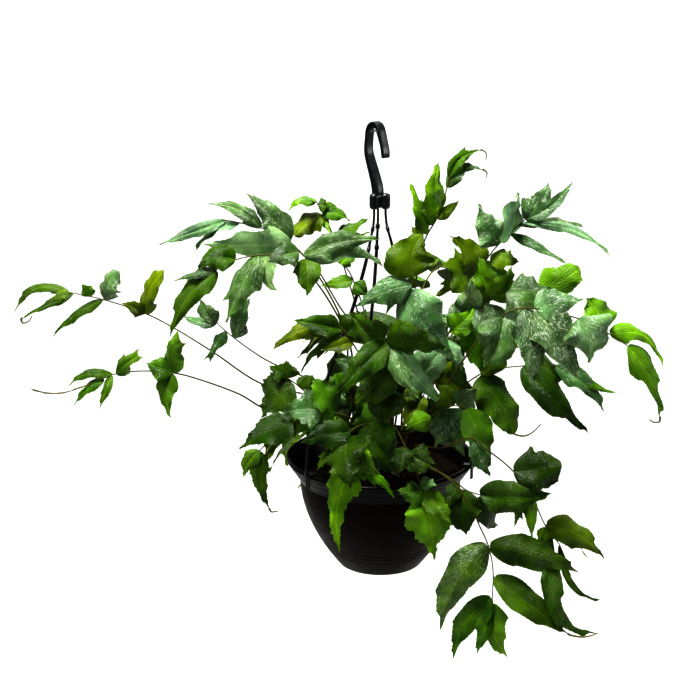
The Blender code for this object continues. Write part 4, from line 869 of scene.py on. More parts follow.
class Leaf:
    """A leaflet's shape: its curved midrib, its eared and waved edges and the way that it faces."""

    def __init__(self, foot, tip, width, face, draw, bow):
        chord = tip - foot
        self.foot = foot
        self.length = chord.length
        self.along = chord.normalized()
        self.across = face.cross(self.along).normalized()
        self.up = self.along.cross(self.across)
        self.half = width / 2
        self.bow = draw.uniform(*BOWS)
        if bow is not None:
            self.bow = bow
        self.arch = draw.uniform(*ARCHES)
        self.fold = draw.uniform(*FOLDS)
        self.twist = draw.uniform(*TWISTS)
        self.ears = {side: draw.uniform(*EARS[side]) for side in (1, -1)}
        self.phase = {side: draw.uniform(0, 1) for side in (1, -1)}

    def trimmed(self, bow, width):
        """A copy that bends aside by a part of its length more, with this share of the width."""
        leaf = copy(self)
        leaf.bow += bow
        leaf.half *= width
        return leaf

    def midrib(self, s):
        """The midrib's point at s, from 0 at the foot to 1 at the tip."""
        swing = sin(pi * s)
        return (self.foot + self.along * self.length * s + self.across * self.length * self.bow * swing
                + self.up * self.length * self.arch * swing)

    def axes(self, s):
        """The directions across the blade and out of its face at s."""
        along = (self.midrib(s + AXIS_STEP) - self.midrib(s - AXIS_STEP)).normalized()
        across = self.up.cross(along).normalized()
        across = Quaternion(along, self.twist * (s - TWIST_START)) @ across
        return across, along.cross(across)

    def ear(self, s, side):
        """How far the ear near the foot stands out at s on one side."""
        return self.ears[side] * exp(-((s - EAR_PLACE) / EAR_SPREAD) ** 2)

    def slope(self, s, side):
        """How steeply the blade rises to one side at s."""
        return self.fold + EDGE_LIFT * sin(tau * (EDGE_LIFTS * s + self.phase[-side]))

    def reach(self, s, side):
        """The blade's half width at s on one side."""
        if s < SHOULDER:
            body = sin(pi / 2 * s / SHOULDER) ** 0.9
        else:
            t = (s - SHOULDER) / (1 - SHOULDER)
            body = (1 - t ** 1.6) * (1 - 0.25 * t * t)
        swing = sin(tau * (EDGE_WAVES * s + self.phase[side]))
        return self.half * (body + self.ear(s, side) + EDGE_WAVE * swing * sin(pi * s))

    def edge(self, s, side):
        """The blade's edge at s on one side."""
        across, up = self.axes(s)
        reach = self.reach(s, side)
        lift = self.slope(s, side)
        lead = EAR_LEAD * self.length * self.ear(s, side)
        return self.midrib(s) + across * side * reach + up * lift * reach + self.along * lead


def face_direction(foot, tip, seen):
    """The way that a leaflet's upper face looks: up and outward, and to the viewer where it is seen."""
    middle = (foot + tip) / 2
    outward = Vector((middle.x, middle.y, 0)).normalized()
    rise, out = FRONT_FACE if seen else BACK_FACE
    face = outward * out + Vector((0, 0, rise))
    if seen:
        face += (view_axes()[0] - middle).normalized()
    return face


def true_width(foot, tip, face, seen_width):
    """The width of a leaflet that looks this wide in the front view although it faces partly away."""
    along = (tip - foot).normalized()
    normal = (face - face.dot(along) * along).normalized()
    sight = view_axes()[0] - foot
    sight = (sight - sight.dot(along) * along).normalized()
    return seen_width / max(LEAST_FACING, abs(normal.dot(sight)))


def leaf_choices(foot, tip, width, bow, seen, seed):
    """A leaflet's shapes in the order in which they are tried: its tip bent to or from the viewer, or up
    or down on the hidden sides, and its face rolled."""
    way = (view_axes()[0] - tip).normalized() if seen else Vector((0, 0, 1))
    for size in LEAF_SIZES:
        for shift in TIP_SHIFTS:
            moved = tip + way * shift * MM
            along = (moved - foot).normalized()
            for roll in LEAF_ROLLS:
                face = Quaternion(along, radians(roll)) @ face_direction(foot, moved, seen)
                wide = true_width(foot, moved, face, width) if seen else width
                yield Leaf(foot, moved, wide * size, face, random.Random(seed), bow)


def packed_tree(name):
    """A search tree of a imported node's points."""
    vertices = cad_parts[name].data.vertices
    tree = KDTree(len(vertices))
    for index, vertex in enumerate(vertices):
        tree.insert(vertex.co + HANG_PLACE, index)
    tree.balance()
    return tree


def misfit(tree, points):
    """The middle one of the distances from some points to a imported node's nearest ones."""
    distances = sorted(tree.find(point)[2] for point in points)
    return distances[len(distances) // 2]


def stalk_corners(route):
    """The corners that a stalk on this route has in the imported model."""
    count = len(route) - 1
    taper = STALK_TIP_RADIUS - STALK_FOOT_RADIUS
    sections = [ring_section(STALK_FOOT_RADIUS + taper * index / count, 3) for index in range(count + 1)]
    return sweep(route, sections, any_across(route))[0]


def packed_route(index, course, tree):
    """The route that a frond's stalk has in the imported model."""
    straight = Vector((0, 0, STALK_START))
    foot = min(foot_choices(index, course),
               key=lambda place: misfit(tree, stalk_corners([place, place + straight])[:3]))
    return min((stalk_route(foot, course, shift) for shift in STALK_SHIFTS),
               key=lambda route: misfit(tree, stalk_corners(route)))


def leaf_corners(leaf):
    """The corners along a leaflet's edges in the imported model."""
    stations = next(rows for limit, rows in LEAF_STATIONS if leaf.length < limit)
    return [leaf.edge(s, side) for s in stations[1:-1] for side in (-1, 1)] + [leaf.midrib(1.0)]


def packed_leaf(choices, tree):
    """The one of a leaflet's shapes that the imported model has."""
    choices = list(choices)
    close = [leaf for leaf in choices if tree.find(leaf.midrib(1.0))[2] < TIP_MATCH]
    return min(close or choices, key=lambda leaf: misfit(tree, leaf_corners(leaf)))


@cache
def packed_fronds():
    """Each frond's route and leaflets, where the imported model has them."""
    found = []
    for index, (name, course) in enumerate(frond_courses().items()):
        tree = packed_tree("frond_" + name)
        route = packed_route(index, course, tree)
        seen = name in FRONT_FRONDS
        if seen:
            wanted = front_leaflets(name, route)
        else:
            wanted = back_leaflets(name, route, random.Random(100 + index))
        leaves = [packed_leaf(leaf_choices(*leaflet, seen, 1000 * index + number), tree)
                  for number, leaflet in enumerate(wanted)]
        found.append((index, name, route, leaves))
    return found


def smooth_step(low, high, value):
    """From 0 to 1 as a value goes from low to high, with soft ends."""
    part = max(0.0, min(1.0, (value - low) / (high - low)))
    return part * part * (3 - 2 * part)


class Blade:
    """A leaflet's fine shape: large and small teeth, a drawn-out tip, now and then a fishtail."""

    def __init__(self, leaf, draw, settings, jagged, horned, slim):
        self.leaf = leaf
        self.jagged = jagged
        self.horned = horned
        self.rounded = False
        self.horns = {side: draw.uniform(*HORN_LEADS) for side in (1, -1)}
        self.rows = max(LEAST_ROWS, min(settings.cells, round(leaf.length / settings.tooth_step)))
        self.small = min(settings.tooth, 0.06 * leaf.half + 0.1 * MM)
        self.tail = SLIM_TAIL if slim else draw.uniform(*TAILS)
        self.tail_span = SLIM_SPAN if slim else TAIL_SPAN
        self.bulge = draw.uniform(*BULGES)
        self.phase = draw.uniform(0, tau)
        self.teeth = {side: self.large_teeth(draw) for side in (1, -1)}
        if draw.random() < FORK_SHARE and leaf.length > FORK_LEAST:
            place = draw.uniform(*FORK_PLACES)
            forked = self.teeth[draw.choice((1, -1))]
            forked.append((place, draw.uniform(*FORK_REACH), FORK_WIDTH, FORK_LEAD))

    def large_teeth(self, draw):
        """Large teeth on one side as (place, reach, width, lead), the reach in half widths."""
        count = draw.randint(*TEETH) + (JAG_MORE if self.jagged else 0)
        reaches = JAG_REACH if self.jagged else TOOTH_REACH
        step = (TEETH_END - TEETH_START) / count
        teeth = []
        for index in range(count):
            place = TEETH_START + step * (index + draw.uniform(*TOOTH_PLACES))
            reach = draw.uniform(*reaches)
            teeth.append((place, reach, step * draw.uniform(*TOOTH_WIDTHS), TOOTH_LEAD * step))
        return teeth

    def large(self, s, side):
        """How far the large teeth stand out and lead forward at s."""
        out = 0.0
        lead = 0.0
        for place, reach, width, forward in self.teeth[side]:
            x = (s - place) / width
            if -1 < x <= 0:
                rise = (1 + x) ** 1.5
            elif 0 < x < TOOTH_FALL:
                rise = 1 - x / TOOTH_FALL
            else:
                continue
            out += reach * rise
            lead += forward * rise
        return out, lead

    def smooth_reach(self, s, side, narrow):
        """The half width at s on one side without the teeth."""
        leaf = self.leaf
        base = 1.0 if s > SHOULDER else sin(pi / 2 * s / SHOULDER) ** -0.35
        ear = leaf.ears[side] * EAR_SOFT * exp(-((s - EAR_PLACE) / (EAR_WIDER * EAR_SPREAD)) ** 2)
        reach = max(0.0, leaf.reach(s, side) + leaf.half * (ear - leaf.ear(s, side))) * narrow * base
        if self.horned:
            reach = max(reach, leaf.half * HORN_WIDTH * smooth_step(*HORN_START, s))
        if self.rounded and s > 0.5:
            reach = max(reach, leaf.half * ROUND_WIDTH * sqrt(1 - (2 * s - 1) ** 2))
        return reach

    def point(self, s, side, u, small=0.0):
        """The blade's point at s, at the part u of the way from the midrib to one edge."""
        leaf = self.leaf
        across, up = leaf.axes(s)
        narrow = 1 - self.tail * smooth_step(*self.tail_span, s)
        out, lead = self.large(s, side)
        share = u * u * (0.5 + 0.5 * u)
        reach = self.smooth_reach(s, side, narrow)
        wide = u * reach + leaf.half * out * narrow * share + small
        lift = leaf.slope(s, side) * wide
        lift += self.bulge * reach * sin(pi * u)
        lift += RIPPLE * leaf.half * sin(RIPPLES * tau * s + side * self.phase) * u * u
        forward = EAR_LEAD * leaf.length * leaf.ear(s, side) * u + lead * leaf.length * share
        if self.horned:
            forward += leaf.length * smooth_step(*HORN_SPAN, s) * (self.horns[side] * u * u - HORN_NOTCH)
        return leaf.midrib(s) + across * side * wide + up * lift + leaf.along * forward, wide

    def thickness(self, s, u, thick):
        """Half the blade's thickness, with its direction, at s and u."""
        return self.leaf.axes(s)[1] * thick / 2 * (1 - EDGE_THIN * u ** 3) * (1 - TIP_THIN * s)


class Patch:
    """Points, faces and surface values that grow into one mesh."""

    def __init__(self):
        self.points = []
        self.faces = []
        self.slots = []
        self.blade = []
        self.tint = []
        self.painted_sheen_and_stripes = []

    def add(self, points, faces, slot, blade, tint, painted_sheen_and_stripes):
        """Add points with their faces and values."""
        start = len(self.points)
        self.points += points
        self.faces += [tuple(start + corner for corner in face) for face in faces]
        self.slots += [slot] * len(faces)
        self.blade += blade
        self.tint += tint
        self.painted_sheen_and_stripes += painted_sheen_and_stripes

    def piece(self, name, materials):
        """The mesh object of all that was added."""
        thing = mesh_object(name, self.points, self.faces, materials)
        mesh = thing.data
        mesh.polygons.foreach_set("material_index", self.slots)
        # A point's shares of painted sheen and glints and of stripes, and of the underside's look
        for label, values in (("blade", self.blade), ("tint", self.tint), ("painted_sheen_and_stripes", self.painted_sheen_and_stripes)):
            layer = mesh.attributes.new(label, "FLOAT_VECTOR", "POINT")
            layer.data.foreach_set("vector", np.asarray(values, np.float32).ravel())
        mesh.validate()
        smooth_shade(thing, 55)
        return thing


def add_blade(patch, blade, slot, settings, tint, painted_sheen_and_stripes, offset):
    """Add a leaflet's blade: a front and a back skin that share their toothed edges."""
    columns = [(-1, u) for u in reversed(COLUMNS)] + [(1, 0.0)] + [(1, u) for u in COLUMNS]
    width = len(columns)
    rows = blade.rows
    length = blade.leaf.length
    points = []
    values = []
    looks = []
    for face in (1, -1):
        for row in range(rows + 1):
            s = BLADE_START + (BLADE_END - BLADE_START) * row / rows
            for side, u in columns:
                place, wide = blade.point(s, side, u)
                points.append(place + face * blade.thickness(s, u, settings.blade))
                values.append((CM * wide, CM * length * s + offset, u))
                looks.append((*painted_sheen_and_stripes, 0.0 if face > 0 else 1.0))
    edges = {}
    for side in (-1, 1):
        edges[side] = len(points)
        for station in range(3 * rows + 1):
            s = BLADE_START + (BLADE_END - BLADE_START) * station / (3 * rows)
            small = blade.small * SMALL_TOOTH[station % 3] * min(1.0, 4 * s, 6 * (1 - s))
            place, wide = blade.point(s, side, 1.0, small)
            points.append(place)
            values.append((CM * wide, CM * length * s + offset, 1.0))
            looks.append((*painted_sheen_and_stripes, EDGE_UNDER))
    back = (rows + 1) * width
    skin = []
    for row in range(rows):
        for column in range(width - 1):
            corner = row * width + column
            skin.append((corner, corner + width, corner + width + 1, corner + 1))
        left = row * width
        right = left + width - 1
        edge = edges[1] + 3 * row
        skin += [(right, edge + 1, edge), (right, edge + 2, edge + 1), (right, right + width, edge + 2),
                 (right + width, edge + 3, edge + 2)]
        edge = edges[-1] + 3 * row
        skin += [(left, edge, edge + 1), (left, edge + 1, edge + 2), (left, edge + 2, left + width),
                 (left + width, edge + 2, edge + 3)]
    faces = skin + [tuple(corner + back if corner < back else corner for corner in reversed(face))
                    for face in skin]
    for row, station in ((0, 0), (rows, 3 * rows)):
        front = [row * width + column for column in range(width)]
        rim = ([edges[-1] + station] + front + [edges[1] + station]
               + [corner + back for corner in reversed(front)])
        faces.append(tuple(rim if row == 0 else reversed(rim)))
    patch.add(points, faces, slot, values, [tint] * len(points), looks)


def add_rod(patch, route, radii, sides, slot, values, tint, look):
    """Add a round rod along a route, with its radius and its values at each point of the route."""
    points, faces = sweep(route, [ring_section(radius, sides) for radius in radii], any_across(route))
    values = [value for value in values for _ in range(sides)]
    patch.add(points, faces, slot, values, [tint] * len(points), [look] * len(points))


def add_rib(patch, blade, start, tint, painted_sheen_and_stripes, offset):
    """Add a leaflet's short stalk and its midrib, which stands a little out of the blade."""
    leaf = blade.leaf
    route = [start] + [leaf.midrib(s) for s in RIB_PLACES]
    count = len(route) - 1
    radii = [RIB_RADIUS * (1 - RIB_TAPER * index / count) for index in range(count + 1)]
    values = [(0.0, CM * leaf.length * index / count + offset, 0.0) for index in range(count + 1)]
    add_rod(patch, route, radii, 5, 0, values, tint, (0.0, painted_sheen_and_stripes[1], 0.2))


def add_curled_tip(patch, leaf, places, tint, offset):
    """Add the thin dry end that a leaflet's tip goes on into."""
    end = leaf.midrib(0.97)
    route = smooth_route([end, leaf.midrib(1.0)] + [seen_point(x, y, -end.y / MM) for x, y in places], 5)
    count = len(route) - 1
    radii = [TIP_RADIUS * (1 - TIP_TAPER * index / count) for index in range(count + 1)]
    values = [(0.0, CM * leaf.length + 0.2 * index + offset, 0.0) for index in range(count + 1)]
    add_rod(patch, route, radii, 6, 0, values, tint, (0.0, 0.0, 0.0))


def add_stalk(patch, route):
    """Add a frond's stalk, brown at its foot and green towards its tip."""
    count = len(route) - 1
    thick, thin = STALK_FINE
    radii = [thick + (thin - thick) * (index / count) ** 0.8 for index in range(count + 1)]
    lengths = [0.0]
    for before, after in zip(route, route[1:]):
        lengths.append(lengths[-1] + (after - before).length)
    values = [(CM * length, length / lengths[-1], 0.0) for length in lengths]
    add_rod(patch, route, radii, 8, 1, values, (0.0, 0.0, 0.0), (0.0, 0.0, 0.0))


def leaf_look(letter, settings, draw):
    """A leaflet's tint and its shares of painted sheen and glints and of stripes, from its letter."""
    colour, painted_sheen_part, stripe = LOOKS[letter]
    red, green, blue = getattr(settings, colour)
    value = draw.uniform(*TINT_VALUES)
    warm = draw.uniform(*TINT_WARMTHS)
    return (red * value * warm, green * value, blue * value / warm), (painted_sheen_part, stripe)


def make_frond(index, name, route, leaves, settings, materials):
    """One frond: its smooth stalk and its toothed leaflets."""
    patch = Patch()
    smooth = smooth_route(route, 6)
    add_stalk(patch, smooth)
    tints = TINTS.get(name, BACK_TINTS[index % 5:] + BACK_TINTS)
    for number, leaf in enumerate(leaves):
        draw = random.Random(5000 * index + number)
        letter = tints[number].lower()
        horned = tints[number].isupper()
        tint, painted_sheen_and_stripes = leaf_look(letter, settings, draw)
        leaf = leaf.trimmed(*TRIMS.get(name, {}).get(number, (0.0, 1.0)))
        blade = Blade(leaf, draw, settings, name in JAGGED, horned, letter in SLIM_TINTS)
        blade.rounded = number in ROUND_ENDS.get(name, ())
        start = min(smooth, key=lambda point: (point - leaf.foot).length)
        offset = 10.0 * number + draw.random()
        add_rib(patch, blade, start, tint, painted_sheen_and_stripes, offset)
        for place in (places for tip, places in CURLED_TIPS.get(name, ()) if tip == number):
            add_curled_tip(patch, leaf, place, tuple(settings.dry), offset)
        add_blade(patch, blade, 2 if letter in GLOSSY_TINTS else 0, settings, tint, painted_sheen_and_stripes, offset)
    piece = patch.piece(name + "_frond", materials)
    finish_piece(piece, "foliage", "frond_" + name)


def rounded(corners, radius, steps):
    """A profile of (radius, z) with its inner corners rounded."""
    made = [corners[0]]
    for before, corner, after in zip(corners, corners[1:], corners[2:]):
        here = Vector(corner)
        into = Vector(before) - here
        away = Vector(after) - here
        reach = min(radius, 0.45 * into.length, 0.45 * away.length)
        start = here + into.normalized() * reach
        end = here + away.normalized() * reach
        for step in range(steps + 1):
            t = step / steps
            made.append(tuple(start * (1 - t) ** 2 + here * 2 * t * (1 - t) + end * t * t))
    made.append(corners[-1])
    return made


def bowl_point(part):
    """The bowl's outer (radius, z) at a part of its depth below the collar."""
    radius = BASE_RADIUS + (BOWL_TOP_RADIUS - BASE_RADIUS) * (1 - part ** BOWL_CURVE)
    return radius, RIM_Z - COLLAR_DROP - (POT_HEIGHT - COLLAR_DROP) * part


def pot_wall(settings):
    """The pot's outer profile below the rim: a stepped collar and a bowl with fine grooves."""
    edge = settings.rim_radius
    profile = [(edge - 1.5 * MM, RIM_Z), (edge, RIM_Z - 1.0 * MM), (edge, RIM_Z - 3.2 * MM)]
    rib = (COLLAR_DROP - 3 * MM) / COLLAR_RIBS
    taper = (edge - BOWL_TOP_RADIUS) / COLLAR_RIBS
    for index in range(COLLAR_RIBS):
        top = RIM_Z - 3 * MM - index * rib
        radius = edge - index * taper
        profile.append((radius - 0.3 * taper, top - 0.3 * MM))
        profile.append((radius - 0.62 * taper, top - 0.5 * rib))
        profile.append((radius - taper + 0.8 * MM, top - 0.92 * rib))
    for step in range(BOWL_STEPS + 1):
        part = step / BOWL_STEPS
        for place in GROOVES:
            for shift, share in GROOVE_SHAPE:
                if step < BOWL_STEPS and part <= place + shift < part + 1 / BOWL_STEPS:
                    near, low = bowl_point(place + shift)
                    profile.append((near - share * settings.groove, low))
        profile.append(bowl_point(part))
    return sorted(profile, key=lambda item: -item[1]) + [(BASE_RADIUS - 2 * MM, RIM_Z - POT_HEIGHT)]


def pot_hollow(settings):
    """The pot's inner profile from its floor to its rim."""
    profile = [(BASE_RADIUS - settings.wall - 1 * MM, RIM_Z - POT_HEIGHT + settings.wall)]
    for step in range(16, -1, -1):
        part = 0.94 * step / 16
        radius, z = bowl_point(part)
        profile.append((radius - settings.wall * (1 + 0.3 * part), z))
    inner = settings.rim_radius - 4.9 * MM
    return profile + [(inner, RIM_Z - 3 * MM), (inner + 0.6 * MM, RIM_Z)]


def make_pot(settings, material):
    """The black bowl with its ribbed collar, fine grooves and drain holes."""
    base = RIM_Z - POT_HEIGHT
    foot = [(0.92 * BASE_RADIUS, base), (0.9 * BASE_RADIUS, base + 0.7 * MM), (0.0, base + 0.7 * MM)]
    hollow = [(0.0, base + settings.wall)] + pot_hollow(settings)
    outside = hollow[-1:] + pot_wall(settings) + foot
    profile = rounded(hollow, 0.8 * MM, 2)[:-1] + rounded(outside, 0.5 * MM, 2)
    pot = mesh_object("hanging_bowl", *turned_points(profile, 96), [material])
    drills = []
    for index in range(DRAIN_HOLES):
        centre = outward_at(360 * (index + 0.5) / DRAIN_HOLES) * DRAIN_RING
        route = [centre + Vector((0, 0, base - 3 * MM)), centre + Vector((0, 0, base + 5 * MM))]
        drills.append(sweep(route, [ring_section(DRAIN_RADIUS, 20)] * 2, Vector((1, 0, 0))))
    drill = mesh_object("drill", *gather(drills), [material])
    cut = pot.modifiers.new("drain", "BOOLEAN")
    cut.operation = "DIFFERENCE"
    cut.object = drill
    pot = plain_copy(pot)
    bpy.data.objects.remove(drill, do_unlink=True)
    smooth_shade(pot, 28)
    finish_piece(pot, "pot_plastic", "pot")


def gather(parts):
    """Points and faces of several bodies as one."""
    points = []
    faces = []
    for own_points, own_faces in parts:
        start = len(points)
        points += [tuple(point) for point in own_points]
        faces += [tuple(start + corner for corner in face) for face in own_faces]
    return points, faces


def hook_stations():
    """The hook's bar, from inside the hub over its arch to the arm's tip, as centres and thicknesses."""
    shank = [Vector((out, z, thick)) * MM for out, z, thick in HOOK_SHANK]
    arm = [Vector((out, z, thick)) * MM for out, z, thick in HOOK_ARM]
    arch = []
    for angle in range(0, 151, 15):
        high = sin(radians(angle))
        arch.append(Vector((-ARCH_REACH * cos(radians(angle)), ARCH_Z + ARCH_RISE * high,
                            ARCH_SIDE + (ARCH_TOP - ARCH_SIDE) * high ** 2)))
    turn = outward_at(HOOK_TURN)
    line = smooth_route(shank + arch + arm, 4)
    return [(HANG_PLACE + turn * out + Vector((0, 0, z)), thick) for out, z, thick in line]


def hook_section(width, depth, recess):
    """The bar's section: rounded corners and a shallow recess along each broad side."""
    half_w = width / 2
    half_d = depth / 2
    quarter = [(half_w - recess, 0.0), (half_w - recess, 0.42 * half_d), (half_w, 0.6 * half_d),
               (half_w, 0.78 * half_d), (0.93 * half_w, 0.93 * half_d), (0.78 * half_w, half_d)]
    back = list(reversed(quarter[1:]))
    return (quarter + [(-side, rise) for side, rise in back] + [(-side, -rise) for side, rise in quarter]
            + [(side, -rise) for side, rise in back])


def knob(radius, inset, centre, sides):
    """A turned knob of the hub with round shoulders and a small raised button on top."""
    top = HUB_TOP_Z - inset
    bottom = HUB_TOP_Z - HUB_HEIGHT + inset
    corners = [(0.0, top), (0.42 * radius, top), (0.46 * radius, top - 0.7 * MM),
               (0.72 * radius, top - 0.7 * MM), (0.94 * radius, top - 2.0 * MM),
               (radius, top - 4.4 * MM), (radius, bottom + 4.2 * MM),
               (0.92 * radius, bottom + 1.6 * MM), (0.66 * radius, bottom), (0.0, bottom)]
    points, faces = turned_points(rounded(corners, 0.9 * MM, 3), sides)
    return [Vector(point) + centre for point in points], faces


def make_hook(material):
    """The hook and its three-lobed hub."""
    stations = hook_stations()
    sections = [hook_section(HOOK_DEPTH, thick, min(1.3 * MM, 0.2 * thick)) for _, thick in stations]
    parts = [sweep([centre for centre, _ in stations], sections, outward_at(HOOK_TURN + 90)),
             knob(HUB_RADIUS, HUB_INSET, HUB_PLACE, 40)]
    for azimuth in STRAND_AZIMUTHS.values():
        parts.append(knob(LOBE_RADIUS, 0.0, HUB_PLACE + outward_at(azimuth) * LOBE_RING, 32))
    hook = mesh_object("hook_and_hub", *gather(parts), [material])
    smooth_shade(hook, 30)
    finish_piece(hook, "hanger_plastic", "hanger_hook")


def node(tree, kind, values=None, **settings):
    """A new node with its settings, and its inputs set or joined to other nodes' outputs."""
    made = tree.nodes.new(kind)
    for name, value in settings.items():
        setattr(made, name, value)
    for key, value in (values or {}).items():
        if isinstance(value, bpy.types.NodeSocket):
            tree.links.new(value, made.inputs[key])
        else:
            made.inputs[key].default_value = value
    return made


def run_tree(thing, tree, values):
    """Run a node tree on an object with the given inputs and return the plain mesh that it makes."""
    modifier = thing.modifiers.new(tree.name, "NODES")
    modifier.node_group = tree
    for item in tree.interface.items_tree:
        if item.item_type == "SOCKET" and item.in_out == "INPUT" and item.name in values:
            modifier[item.identifier] = values[item.name]
    return plain_copy(thing)


def open_tree(name, output, inputs):
    """A new Geometry Nodes tree with its named output and inputs, and the input node's sockets."""
    tree = bpy.data.node_groups.new(name, "GeometryNodeTree")
    for label, kind, default in inputs:
        socket = tree.interface.new_socket(name=label, in_out="INPUT", socket_type="NodeSocket" + kind)
        if default is not None:
            socket.default_value = default
    tree.interface.new_socket(name=output, in_out="OUTPUT", socket_type="NodeSocketGeometry")
    return tree, node(tree, "NodeGroupInput").outputs


def close_tree(tree, geometry, material):
    """Make a tree's instances real, give them their material and hand them to its output."""
    real = node(tree, "GeometryNodeRealizeInstances", {"Geometry": geometry})
    painted = node(tree, "GeometryNodeSetMaterial",
                   {"Geometry": real.outputs["Geometry"], "Material": material})
    node(tree, "NodeGroupOutput", {0: painted.outputs["Geometry"]})
    return tree


def strand_tree():
    """The tree that draws round strands, thicker at their ring collars, along a curve."""
    tree, given = open_tree("strands_along_curve", "Strands", (
        ("Curve", "Geometry", None), ("Radius", "Float", 1.7 * MM), ("Sides", "Int", STRAND_SIDES),
        ("Material", "Material", None)))
    ring = node(tree, "GeometryNodeCurvePrimitiveCircle",
                {"Resolution": given["Sides"], "Radius": given["Radius"]})
    swell = node(tree, "GeometryNodeInputRadius")
    swept = node(tree, "GeometryNodeCurveToMesh",
                 {"Curve": given["Curve"], "Profile Curve": ring.outputs["Curve"],
                  "Scale": swell.outputs[0], "Fill Caps": True})
    return close_tree(tree, swept.outputs["Mesh"], given["Material"])


def strand_swell(z):
    """A strand's thickness at a height, as a share: thin at the hub, thick below its first collars."""
    high, low = STRAND_SWELL
    bottom, top = SWELL_SPAN
    return low + (high - low) * smooth_step(RIM_Z + bottom, RIM_Z + top, z)


def strand_curve(side, settings):
    """A curve along a strand, whose radius grows at the ring collars."""
    outward = outward_at(STRAND_AZIMUTHS[side])
    route = smooth_route([outward * out * MM + HUB_PLACE * height / STRAND_ROUTE[0][1]
                          + Vector((0, 0, RIM_Z + height * MM)) for out, height in STRAND_ROUTE], 8)
    wide = settings.collar_radius / settings.strand_radius
    stations = [(point, strand_swell(point.z)) for point in route]
    half = ((2.6, 1.0), (2.3, 0.86 * wide), (1.8, wide), (0.35, wide))
    collar = (*half, (0.0, 0.82 * wide), *((-shift, radius) for shift, radius in reversed(half)))
    for height in STRAND_COLLARS[side]:
        for shift, radius in collar:
            z = RIM_Z + (height + shift) * MM
            before = max((point for point in route if point.z >= z), key=lambda point: -point.z)
            after = max((point for point in route if point.z < z), key=lambda point: point.z)
            place = before.lerp(after, (before.z - z) / (before.z - after.z))
            stations.append((place, max(radius, strand_swell(z))))
    stations.sort(key=lambda item: -item[0].z)
    shape = bpy.data.curves.new("strand", "CURVE")
    shape.dimensions = "3D"
    line = shape.splines.new("POLY")
    line.points.add(len(stations) - 1)
    for point, (place, radius) in zip(line.points, stations):
        point.co = (*place, 1.0)
        point.radius = radius
    return scene_object("strand", shape)


def clip(azimuth, settings):
    """The clip that straddles the rim at a strand's foot, with a boss that takes the strand."""
    outward = outward_at(azimuth)
    outer = settings.rim_radius + 1.8 * MM
    inner = settings.rim_radius - 7.6 * MM
    top = RIM_Z + GAP + 1.0 * MM
    corners = [(inner, RIM_Z - 4 * MM), (inner, top), (outer, top), (outer, RIM_Z - 14 * MM)]
    route = [outward * out + Vector((0, 0, z)) for out, z in rounded(corners, 1.4 * MM, 4)]
    section = [(side * CLIP_HALF_WIDTH, rise * CLIP_HALF_DEPTH) for side, rise in CLIP_SECTION]
    bar = sweep(route, [section] * len(route), Vector((-outward.y, outward.x, 0)))
    centre = outward * STRAND_ROUTE[-1][0] * MM
    boss = [(0.0, RIM_Z + 7 * MM), (1.9 * MM, RIM_Z + 7 * MM), (2.8 * MM, RIM_Z + 5.5 * MM),
            (3.1 * MM, RIM_Z + 1 * MM), (0.0, RIM_Z + 1 * MM)]
    points, faces = turned_points(rounded(boss, 0.5 * MM, 2), 20)
    return [bar, ([Vector(point) + centre for point in points], faces)]


def make_strands(settings, material):
    """The three strands with their ring collars and clips."""
    tree = strand_tree()
    for side, azimuth in STRAND_AZIMUTHS.items():
        sizes = {"Radius": settings.strand_radius, "Sides": STRAND_SIDES, "Material": material}
        strand = run_tree(strand_curve(side, settings), tree, sizes)
        mesh = strand.data
        own = ([vertex.co for vertex in mesh.vertices], [tuple(face.vertices) for face in mesh.polygons])
        bpy.data.objects.remove(strand, do_unlink=True)
        piece = mesh_object(side + "_strand", *gather([own] + clip(azimuth, settings)), [material])
        recalculate(piece)
        smooth_shade(piece, 40)
        finish_piece(piece, "hanger_plastic", "hanger_strand_" + side)


